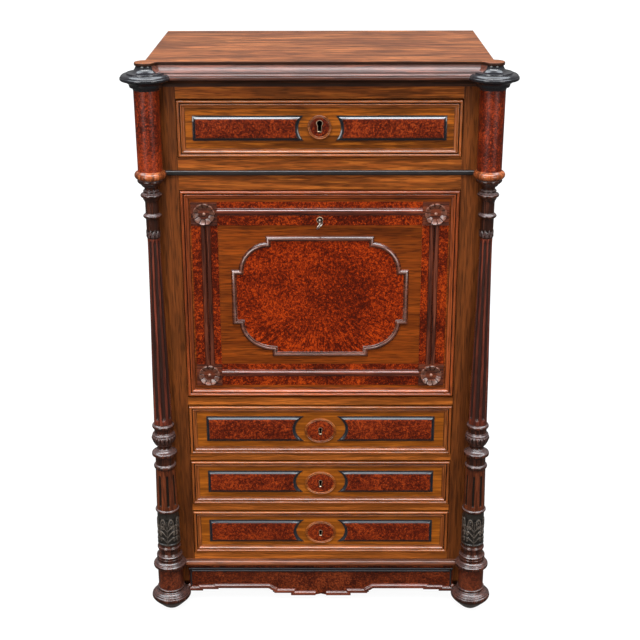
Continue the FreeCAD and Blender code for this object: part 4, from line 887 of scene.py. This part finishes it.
q = Mesh()
low = [(344.0, 37.0), (316.5, 37.0), (316.5, 41.5), (275.5, 41.5), (275.5, 44.5), (140.0, 44.5)]
low += [(140.0 - 13.0 * k / 8 - (0), 44.5 - 6.0 * (k / 8) ** 2) for k in range(1, 9)]
low += [(127.0 - 10.0 * (1 - (1 - k / 8) ** 2), 38.5 - 8.5 * k / 8) for k in range(1, 9)]
low += [(72.5, 30.0), (72.5, 23.0), (14.0, 23.0)]
v, f = sweep(low, bead_prof(12.0, 6.5), False, front(FACE))
q.add(v, f).add(mirror_x(v), f)
q.make("apron_lower_bead", m_bead, node="apron_beads", slot="ebonised_wood")
q = Mesh()
half = soften(poly([(-3.0, 0), (-3.0, 1.6), (3.0, 1.6, 2.6), (3.0, 0)]), 0.3, True)
small = soften(poly([(-2.2, 0), (-2.2, 1.2), (2.2, 1.2, 1.9), (2.2, 0)]), 0.3, True)
v, f = sweep([(-345.0, 96.0), (345.0, 96.0)], half, False, front(FACE))
q.add(v, f)
v, f = sweep([(-337.0, 89.3), (337.0, 89.3)], small, False, front(FACE))
q.add(v, f)
v, f = sweep([(340.5, 92.5), (340.5, 46.0)], small, False, front(FACE))
q.add(v, f).add(mirror_x(v), f)
q.make("apron_upper_beads", m_border, node="apron_beads", slot="ebonised_wood")
# scroll ends beside the feet
q = Mesh()
rows, cols = 13, 20
sv = []
for i in range(rows):
    a = math.pi / 2 * i / (rows - 1)
    for jj in range(cols):
        b = 2 * math.pi * jj / cols
        rad = 7.0 * math.cos(a) * (1 + 0.10 * math.cos(3 * b + 5 * a))
        sv.append(W(346.5 + rad * math.cos(b), FACE - 6.2 * math.sin(a), 43.0 + rad * math.sin(b)))
sf = grid_faces(rows, cols, True) + [tuple(range(cols))]
q.add(sv, sf).add(mirror_x(sv), sf)
q.make("apron_scrolls", m_carv, node="apron_beads", slot="ebonised_wood")

# ------------------------------------------------------------------ drawers
mould = soften(poly([(0, 0), (0, 3.6), (0.5, 5.0), (7.0, 4.8, 2.9), (7.3, 2.4), (8.9, 2.4), (9.2, 5.0), (11.4, 5.3, 0.4), (17.6, 1.2, -1.0), (19.0, 0.9), (19.0, 0)]), 0.3, True)


def quirk_painted_shade(u, h):
    """painted shade: dark in the hollow between the bead and the slope, and along the outer edge"""
    return 1.0 if 7.1 < u < 9.1 and h < 3.4 else 0.75 if u < 0.3 or u > 18.4 else 0.0




def key_radius(th, kr, kw, kh):
    """distance from the middle of a keyhole's round part to its outline"""
    c, s = math.cos(th), math.sin(th)
    if s < 0:
        # slot: half width kw / 2, down to -kh
        t_side = (kw / 2) / abs(c) if abs(c) > 1e-6 else 1e9
        t_low = kh / -s
        t = min(t_side, t_low)
        return max(kr, t) if t > kr or t_side > kr else kr
    return kr


def ell_radius(th, a, b, dz):
    """distance from a point dz above an ellipse's centre to the ellipse"""
    c, s = math.cos(th), math.sin(th)
    qa = c * c / (a * a) + s * s / (b * b)
    qb = 2 * dz * s / (b * b)
    qc = dz * dz / (b * b) - 1
    return (-qb + math.sqrt(qb * qb - 4 * qa * qc)) / (2 * qa)


def roundel(name, body, node, rz, rx, rr, key):
    kr, kw, kh, off = key
    nth = 120
    th = [2 * math.pi * k / nth for k in range(nth)]
    # ring
    ring = soften(poly([(0, 0), (0, 2.4), (0.3, 3.6), (3.0, 3.8, 1.1), (3.3, 2.7), (3.7, 2.7), (4.0, 3.6), (6.0, 3.4, 0.9), (6.4, 2.4), (6.4, 0)]), 0.2, True)
    path = [(rx * math.cos(-a), rz + rr * math.sin(-a)) for a in th]
    v, f = sweep(path, ring, True, front(FACE))
    make(name + "_ring", v, f, m_mould_h, body, node, "rosewood_veneer")
    # burr disc round the keyhole
    cz = rz + off
    rows = []
    for k, (q, h) in enumerate(((0.0, 1.0), (0.0, 2.9), (0.04, 3.2), (0.5, 3.5), (0.9, 3.0), (1.0, 2.6), (1.0, 0.5))):
        for a in th:
            r0, r1 = key_radius(a, kr + 1.5, kw + 3.0, kh + 1.5), ell_radius(a, rx - 6.0, rr - 6.0, off)
            r = r0 + (r1 - r0) * q
            rows.append(W(r * math.cos(a), FACE - h, cz + r * math.sin(a)))
    make(name + "_disc", rows, grid_faces(7, nth, True), m_burr_panel, body, node, "burr_veneer")
    # metal lining of the keyhole
    rows = []
    for q, h in ((1.5, 1.0), (1.5, 3.7), (1.2, 4.3), (0.5, 4.4), (0.0, 3.8), (0.0, 2.6)):
        for a in th:
            r = key_radius(a, kr + q, kw + 2 * q, kh + q)
            rows.append(W(r * math.cos(a), FACE - h, cz + r * math.sin(a)))
    make(name + "_keyhole", rows, grid_faces(6, nth, True), m_lining, body, node, "brass_fittings", fix=True)
    # painted shade: the keyhole is lined with near-black and closed at the back, standing in for the shade inside the
    # lock
    rows = []
    for h in (2.7, -13.6):
        for a in th:
            r = key_radius(a, kr, kw, kh)
            rows.append(W(r * math.cos(a), FACE - h, cz + r * math.sin(a)))
    make(name + "_keyhole_painted_shade", rows, grid_faces(2, nth, True) + [tuple(range(nth, 2 * nth))], m_painted_hole_shade, body, node, "brass_fittings")


def drawer(name, z0, z1, fr, rz, rx, rr, arcp, key):
    body = name
    f0, f1 = z0 + GAP, z1 - TOP_GAP
    kr, kw, kh, off = key
    # front board, pierced behind the roundel
    hx, ha, hb = 12.0, rz + off - kh - 5.0, rz + off + kr + 5.0
    m = Mesh()
    for b in ((-OH, -hx, f0, f1), (hx, OH, f0, f1), (-hx, hx, f0, ha), (-hx, hx, hb, f1)):
        x0, x1, a, c = b
        yy0, yy1 = FACE, FACE + 20.0
        vs = [W(x, y, z) for y in (yy0, yy1) for x, z in ((x0, a), (x1, a), (x1, c), (x0, c))]
        m.add(vs, [(0, 1, 2, 3), (4, 5, 6, 7), (0, 1, 5, 4), (1, 2, 6, 5), (2, 3, 7, 6), (3, 0, 4, 7)])
    m.make(name + "_board", m_ground, body=body, node=name + "_front", slot="rosewood_veneer")
    hor, ver = split_frame(-OH, OH, f0, f1, mould, FACE, quirk_painted_shade)
    hor.make(name + "_mould_across", m_mould_h, body=body, node=name + "_front", slot="rosewood_veneer")
    ver.make(name + "_mould_upright", m_mould_v, body=body, node=name + "_front", slot="rosewood_veneer")
    # raised panels with black borders
    xa, xb, za, zb = fr
    zc = (za + zb) / 2.0

    def outl(inset, n=16):
        x_out, zl, zh = xb - inset, za + inset, zb - inset
        ax, az = arcp[0] + inset, arcp[1] + inset
        pts = []

        def seg(p, q, k):
            return [(p[0] + (q[0] - p[0]) * i / k, p[1] + (q[1] - p[1]) * i / k) for i in range(k)]
        tip = ax * math.sqrt(max(0.0, 1 - ((zh - zc) / az) ** 2))
        pts += seg((x_out, zl), (x_out, zh), 4) + seg((x_out, zh), (tip, zh), 12)
        t = math.asin(min(1.0, (zh - zc) / az))
        hollow = [(ax * math.cos(t - 2 * t * i / n), zc + az * math.sin(t - 2 * t * i / n)) for i in range(n)]
        pts += hollow
        pts += seg((tip, zl), (x_out, zl), 12)
        return pts

    bor, fld = Mesh(), Mesh()
    lv = ((0.0, 0.0), (0.0, 1.4), (0.3, 1.8), (3.2, 2.5), (3.5, 2.7), (6.5, 5.7), (7.0, 6.0), (7.4, 5.8), (7.4, 0.0))
    vb = [W(p[0], FACE - h, p[1]) for d, h in lv for p in outl(d)]
    nn = len(outl(0.0))
    fb = grid_faces(len(lv), nn, True)
    lf = ((7.2, 0.5), (7.2, 5.8), (7.5, 6.7), (8.2, 7.1), (9.2, 7.2))
    vf = [W(p[0], FACE - h, p[1]) for d, h in lf for p in outl(d)]
    ff = grid_faces(len(lf), nn, True) + [tuple(range((len(lf) - 1) * nn, len(lf) * nn)), tuple(range(nn))]
    bor.add(vb, fb).add(mirror_x(vb), fb)
    fld.add(vf, ff).add(mirror_x(vf), ff)
    bor.make(name + "_borders", m_border, body=body, node=name + "_panels", slot="ebonised_wood")
    fld.make(name + "_fields", m_burr_panel, body=body, node=name + "_panels", slot="burr_veneer")
    roundel(name, body, name + "_lock", rz, rx, rr, key)
    # lock case behind the front, with its screws
    zt = f1 - 16.0
    top = min(rz + 30, zt - 2)
    lc = Mesh()
    v, f = board(-32, 32, FACE + 20.0, FACE + 32.0, rz - 24, top, 1.2)
    lc.add(v, f)
    for sx in (-26, 26):
        for sz in (rz - 18, top - 6):
            vv = []
            for rad, h in ((3.2, 0.0), (3.2, 0.5), (2.4, 1.1), (0.9, 1.4)):
                vv += [W(sx + rad * math.cos(2 * math.pi * k / 16), FACE + 32.0 + h, sz + rad * math.sin(2 * math.pi * k / 16)) for k in range(16)]
            lc.add(vv, grid_faces(4, 16, True) + [tuple(range(48, 64))])
    lc.make(name + "_lock_case", m_brass, body=body, node=name + "_lock", slot="brass_fittings")


drawer("drawer_top", 1196.5, 1333.0, (-292, 292, 1236.0, 1294.0), 1267.0, 28.0, 28.0, (49.0, 44.5), (6.2, 7.6, 18.5, 9.5))
drawer("drawer_upper", 431.5, 568.0, (-285, 285, 468.0, 536.0), 497.0, 39.5, 34.0, (62.5, 45.5), (3.8, 4.6, 12.0, 4.0))
drawer("drawer_middle", 289.0, 414.5, (-286, 286, 323.0, 383.5), 349.0, 39.5, 32.5, (62.5, 43.0), (3.8, 4.6, 12.0, 4.0))
drawer("drawer_lower", 147.5, 270.5, (-287, 287, 178.0, 241.5), 206.0, 39.5, 32.5, (62.5, 43.5), (3.8, 4.6, 10.0, 2.0))

# ------------------------------------------------------------------ fall
FY = FACE
fmould = soften(poly([(0, 0), (0, 3.6), (0.5, 5.0), (7.2, 4.8, 2.9), (7.5, 2.4), (9.0, 2.4), (9.3, 5.0), (12.0, 5.3, 0.4), (18.6, 1.2, -1.0), (20.0, 0.9), (20.0, 0)]), 0.3, True)
hor, ver = split_frame(-OH, OH, FALL_Z0 + 0.8, FALL_Z1, fmould, FY, quirk_painted_shade)
hor.make("fall_mould_across", m_fmould_h, body="fall", node="fall_moulding", slot="rosewood_veneer")
ver.make("fall_mould_upright", m_fmould_v, body="fall", node="fall_moulding", slot="rosewood_veneer")
BX0, BX1 = 241.5, 303.5
ZT0, ZT1, ZB0, ZB1 = 1033.0, 1090.0, 622.0, 678.0
reed = lambda w, h: soften(poly([(-w / 2, 0.5), (-w / 2, 1.6), (w / 2, 1.6, h), (w / 2, 0.5)]), 0.25, True)
q = Mesh()
for zc, w in ((1066.0, 13.0), (654.0, 12.0)):
    v, f = sweep([(-BX0 - 0.5, zc), (BX0 + 0.5, zc)], reed(w, 4.6), False, front(FY))
    q.add(v, f)
    for dz in (-1, 1):
        v, f = sweep([(-BX0 - 0.5, zc + dz * (w / 2 + 1.2)), (BX0 + 0.5, zc + dz * (w / 2 + 1.2))], reed(2.4, 0.9), False, front(FY))
        q.add(v, f)
q.make("fall_reeds_across", m_bead, body="fall", node="fall_moulding", slot="dark_polished_wood")
q = Mesh()
for xc in (264.2, 276.2):
    v, f = sweep([(xc, ZB1 - 0.5), (xc, ZT0 + 0.5)], reed(11.6, 4.4), False, front(FY))
    q.add(v, f).add(mirror_x(v), f)
q.make("fall_reeds_upright", m_reed, body="fall", node="fall_moulding", slot="dark_polished_wood")


def rosette(cx, zc, hw, hh):
    """square block with a ten-petalled flower: round petals rising from the middle to a scalloped rim, cut apart by
    grooves; painted shade in the grooves, towards the middle and round the foot of the rim, and a painted highlight on
    the petals and the boss
    """
    m = Mesh()
    rect = []
    for ex, ez in ((-1, -1), (1, -1), (1, 1), (-1, 1)):
        rect.append((cx + ex * hw, zc + ez * hh))
    lv = [(0, 0.4), (0, 4.9), (5.0, 4.9)]
    v, f = slab(rect, lv, front(FY))
    wr = []
    for k in range(len(lv)):
        wr += [0.0] * 4
    m.add(v, f, tone=[0.0] * len(v), wear=wr)
    n, R = 10, 26.2
    rings, cols = 36, 240
    v, tone, wear = [], [], []

    def reach(u):
        return R * (0.91 + 0.09 * math.sqrt(max(0.0, 1 - (2 * u) ** 2)))
    for i in range(rings):
        p = i / (rings - 1)
        for k in range(cols):
            th = 2 * math.pi * k / cols
            u = (th * n / (2 * math.pi) + 0.25) % 1.0 - 0.5
            rmax = reach(u)
            r = 0.5 + (rmax - 0.5) * p
            if r < 4.2:
                h = 4.6 + 3.6 * math.sqrt(max(0.0, 1 - (r / 4.2) ** 2))
                # painted highlight on the boss
                t, w = 0.0, 0.35
            else:
                k2 = (r - 4.2) / (rmax - 4.2)
                lobe = math.sqrt(max(0.0, 1 - (2 * u) ** 2))
                gap = math.exp(-((0.5 - abs(u)) * r / R / 0.05) ** 2)
                h = 3.2 + 8.6 * k2 ** 2.0 + 1.5 * (lobe - 0.6) * (0.3 + 0.7 * k2) - 1.6 * gap
                if k2 > 0.93:
                    h = 4.6 + (h - 4.6) * math.sqrt(max(0.0, 1 - ((k2 - 0.93) / 0.07) ** 2))
                # painted shade in the grooves between petals and towards the middle; painted highlight on the petals,
                # growing towards the rim
                t = min(1.0, 0.9 * gap + 0.35 * (1 - k2))
                w = 0.2 * lobe * k2 * (1 - gap)
            v.append(W(cx + r * math.cos(th), FY - h, zc + r * math.sin(th)))
            tone.append(min(1.0, t))
            wear.append(w)
    # foot of the scalloped rim, painted in full shade
    for k in range(cols):
        th = 2 * math.pi * k / cols
        rmax = reach((th * n / (2 * math.pi) + 0.25) % 1.0 - 0.5)
        v.append(W(cx + rmax * math.cos(th), FY - 4.4, zc + rmax * math.sin(th)))
        tone.append(1.0)
        wear.append(0.0)
    f = grid_faces(rings + 1, cols, True) + [tuple(range(cols))]
    m.add(v, f, tone=tone, wear=wear)
    return m


q = Mesh()
for zc, hh in (((ZT0 + ZT1) / 2, (ZT1 - ZT0) / 2), ((ZB0 + ZB1) / 2, (ZB1 - ZB0) / 2)):
    for sx in (1, -1):
        m = rosette(sx * (BX0 + BX1) / 2, zc, (BX1 - BX0) / 2, hh)
        q.add(m.v, m.f, **m.a)
q.make("fall_corner_blocks", m_ros, body="fall", node="fall_rosettes", slot="dark_polished_wood", sharp=50)

# cartouche moulding: bars stepped out from the corner arcs, with mitred returns
CW = 12.5
XB, XS = 195.0, 212.5
Z1A, Z0A = 991.0, 713.5
ZS1, ZS0 = 922.0, 782.0
XT, XU = 122.5, 110.5
ZTB, ZBB = 1006.0, 698.0


def quarter(cx, cz, a, b, up, n=20):
    return [(cx + a * math.sin(math.pi / 2 * i / n), cz + up * b * math.cos(math.pi / 2 * i / n)) for i in range(n + 1)]


ctr = CW / 2
right = [(XT, ZTB - ctr)] + quarter(XT, ZS1 - ctr, XB - ctr - XT, Z1A - ctr - ZS1 + ctr, 1)
right += [(XS - ctr, ZS1 - ctr), (XS - ctr, ZS0 + ctr)]
right += list(reversed(quarter(XU, ZS0 + ctr, XB - ctr - XU, ZS0 + ctr - Z0A - ctr, -1)))
right += [(XU, ZBB + ctr)]
path = right + [(-p[0], p[1]) for p in reversed(right)]
cprof = soften(poly([(-6.25, 0.0), (-6.25, 1.2), (-5.6, 1.8), (-1.4, 5.6, 0.5), (-0.4, 5.9), (2.6, 4.6, 0.8), (2.9, 3.0), (3.5, 3.0), (6.25, 1.6, 0.5), (6.25, 0.0)]), 0.2, True)
v, f = sweep(path, cprof, True, front(FY))
# the crest is painted lighter: partly rubbed crest, partly painted highlight
make("cartouche_moulding", v, f, m_carv, "fall", "fall_cartouche", "dark_polished_wood",
     attrs={"wear": [max(0.0, min(0.14, (h - 5.0) * 0.3)) for _, h in cprof] * len(path)})

# key, part turned: thin open bow, shank with turned rings, notched bit
KT = math.radians(45.0)


def in_lock(x, y, z):
    return W(x * math.cos(KT) + z * math.sin(KT), y, KEY_Z - x * math.sin(KT) + z * math.cos(KT))


def about_shank(pts, k=32):
    v = [in_lock(r * math.cos(2 * math.pi * i / k), y, r * math.sin(2 * math.pi * i / k)) for y, r in pts for i in range(k)]
    return v, grid_faces(len(pts), k, True) + [tuple(range(k)), tuple(range((len(pts) - 1) * k, len(pts) * k))]


q = Mesh()
v = []
for i in range(73):
    t = 2 * math.pi * i / 72
    for k in range(16):
        a = 2 * math.pi * k / 16
        r = 9.7 + 1.15 * math.cos(a)
        v.append(in_lock(1.15 * math.sin(a), -47.0 + r * math.cos(t), r * math.sin(t)))
q.add(v, grid_faces(73, 16, True))
q.add(*about_shank([(-38.2, 1.3), (-37.6, 2.4), (-36.8, 2.9), (-35.8, 2.9), (-35.0, 2.3), (-34.4, 2.0), (-10.0, 2.2), (-9.2, 2.9), (-8.2, 3.7), (-7.0, 3.9),
                    (-5.9, 3.5), (-5.2, 2.4), (-4.8, 2.2), (18.6, 2.2), (19.4, 1.7)]))
bit = [(12.0, 0.0), (19.0, 0.0), (19.0, -10.4), (17.0, -10.4), (17.0, -7.4), (15.0, -7.4), (15.0, -10.4), (12.0, -10.4)]
nb = len(bit)
q.add([in_lock(x, y, z) for x in (-1.3, 1.3) for y, z in bit], grid_faces(2, nb, True) + [tuple(range(nb)), tuple(range(nb, 2 * nb))])
q.make("key_whole", m_key, body="key", node="key", slot="key_steel")
# rim of the keyhole; a near-black sheet over the lock ring's face and a short tube inside it are painted shade for the
# hole
v = []
for i in range(65):
    t = 2 * math.pi * i / 64
    for k in range(12):
        a = 2 * math.pi * k / 12
        r = 7.2 + 0.75 * math.cos(a)
        v.append(W(r * math.cos(t), FY - 2.4 + 0.75 * math.sin(a), KEY_Z + r * math.sin(t)))
make("fall_keyhole_rim", v, grid_faces(65, 12, True), m_lining, "fall", None, "brass_fittings")
v = [W(r * math.cos(2 * math.pi * i / 64), FY - h, KEY_Z + r * math.sin(2 * math.pi * i / 64)) for r, h in ((7.0, 2.5), (6.0, 2.46), (3.6, 2.44), (3.6, 0.6)) for i in range(64)]
make("fall_keyhole_painted_shade", v, grid_faces(4, 64, True), m_painted_hole_shade, "fall", None, "brass_fittings")

# writing leather with a gilt line
q = Mesh()
rect = [(-285, 668.0), (285, 668.0), (285, 1085.0), (-285, 1085.0)]
v, f = slab(rect, [(0, 0.0), (0, 0.4), (0.5, 0.75), (1.6, 0.8)], lambda a, b, h: W(a, FY + FALL_T + h, b))
make("leather", v, f, m_leather, "fall", "fall_leather", "writing_leather")
q = Mesh()
for d, w in ((12.0, 1.8), (17.0, 0.8)):
    line = [(0, 0.70), (0, 0.86), (w, 0.86), (w, 0.70)]
    v, f = sweep([(-285 + d, 668 + d), (-285 + d, 1085 - d), (285 - d, 1085 - d), (285 - d, 668 + d)], line, True, lambda a, b, h: W(a, FY + FALL_T + h, b))
    q.add(v, f)
q.make("leather_gilt_line", m_lining, body="fall", slot="brass_fittings")

# ------------------------------------------------------------------ floor, light, camera
bpy.ops.mesh.primitive_plane_add(size=60.0, location=(0, 0, 0))
floor = bpy.context.object
floor.name = "floor"
n = Nodes("pale_floor")
n.set(Base_Color=(0.06, 0.06, 0.06, 1.0), Roughness=0.9, Specular_IOR_Level=0.0, Emission_Color=(1.0, 1.0, 1.0, 1.0), Emission_Strength=0.94)
floor.data.materials.append(n.m)
floor.visible_glossy = floor.visible_diffuse = False
# pale wall far off all round, seen only directly
ring = [(28.0 * math.cos(2 * math.pi * k / 96), 28.0 * math.sin(2 * math.pi * k / 96)) for k in range(96)]
me = bpy.data.meshes.new("wall")
me.from_pydata([(x, y, z) for z in (0.0, 14.0) for x, y in ring], [], grid_faces(2, 96, True))
me.materials.append(n.m)
wall = bpy.data.objects.new("wall", me)
scene.collection.objects.link(wall)
wall.visible_glossy = wall.visible_diffuse = wall.visible_shadow = False

world = bpy.data.worlds.new("studio")
scene.world = world
world.use_nodes = True
wt = world.node_tree
bg = wt.nodes["Background"]
# a bright belt high above the horizon, dim below it
grad = wt.nodes.new("ShaderNodeValToRGB")
sep = wt.nodes.new("ShaderNodeSeparateXYZ")
wt.links.new(wt.nodes.new("ShaderNodeTexCoord").outputs["Generated"], sep.inputs[0])
wt.links.new(sep.outputs[2], grad.inputs[0])
wt.links.new(grad.outputs[0], bg.inputs[0])
ramp = grad.color_ramp
ramp.elements[0].position, ramp.elements[0].color = 0.0, (0.015, 0.015, 0.014, 1.0)
ramp.elements[1].position, ramp.elements[1].color = 1.0, (0.2, 0.21, 0.22, 1.0)
for pos, c in ((0.35, (0.05, 0.05, 0.05, 1.0)), (0.72, (0.06, 0.06, 0.06, 1.0)), (0.77, (0.87, 0.94, 1.0, 1.0)), (0.95, (0.87, 0.94, 1.0, 1.0)), (0.975, (0.2, 0.21, 0.22, 1.0))):
    ramp.elements.new(pos).color = c
bg.inputs[1].default_value = 9.0


def area(name, loc, target, sx, sy, power, color=(1, 1, 1)):
    l = bpy.data.lights.new(name, "AREA")
    l.shape = "RECTANGLE"
    l.size, l.size_y = sx, sy
    l.energy = power
    l.color = color
    o = bpy.data.objects.new(name, l)
    scene.collection.objects.link(o)
    o.location = loc
    o.rotation_euler = (Vector(target) - Vector(loc)).to_track_quat("-Z", "Y").to_euler()
    return o


area("strip", (0.0, -2.3, 5.4), (0, -0.2, 0.8), 5.6, 0.75, 200.0, (1.0, 0.98, 0.96))
area("front_left", (-2.6, -4.0, 1.8), (0, -0.2, 0.7), 2.0, 2.4, 125.0, (1.0, 0.99, 0.97))
area("front_right", (2.8, -3.8, 1.7), (0, -0.2, 0.7), 1.8, 2.2, 88.0, (1.0, 0.99, 0.97))

cam_d = bpy.data.cameras.new("camera")
cam = bpy.data.objects.new("camera", cam_d)
scene.collection.objects.link(cam)
cam_d.sensor_width = 36.0
cam_d.lens = 36.0 * 1286.8 / 640.0
pitch, yaw, roll = 0.36698, -0.00653, -0.00272
fwd = Vector((math.sin(yaw) * math.cos(pitch), math.cos(yaw) * math.cos(pitch), -math.sin(pitch)))
rt = Vector((math.cos(yaw), -math.sin(yaw), 0.0))
up = rt.cross(fwd)
r2 = math.cos(roll) * rt + math.sin(roll) * up
u2 = -math.sin(roll) * rt + math.cos(roll) * up
cam.matrix_world = Matrix(((r2.x, u2.x, -fwd.x, 0.020702), (r2.y, u2.y, -fwd.y, -3.407316), (r2.z, u2.z, -fwd.z, 2.104388), (0, 0, 0, 1)))
cam_d.clip_start, cam_d.clip_end = 0.05, 100.0
scene.camera = cam
scene.view_settings.view_transform = "Standard"
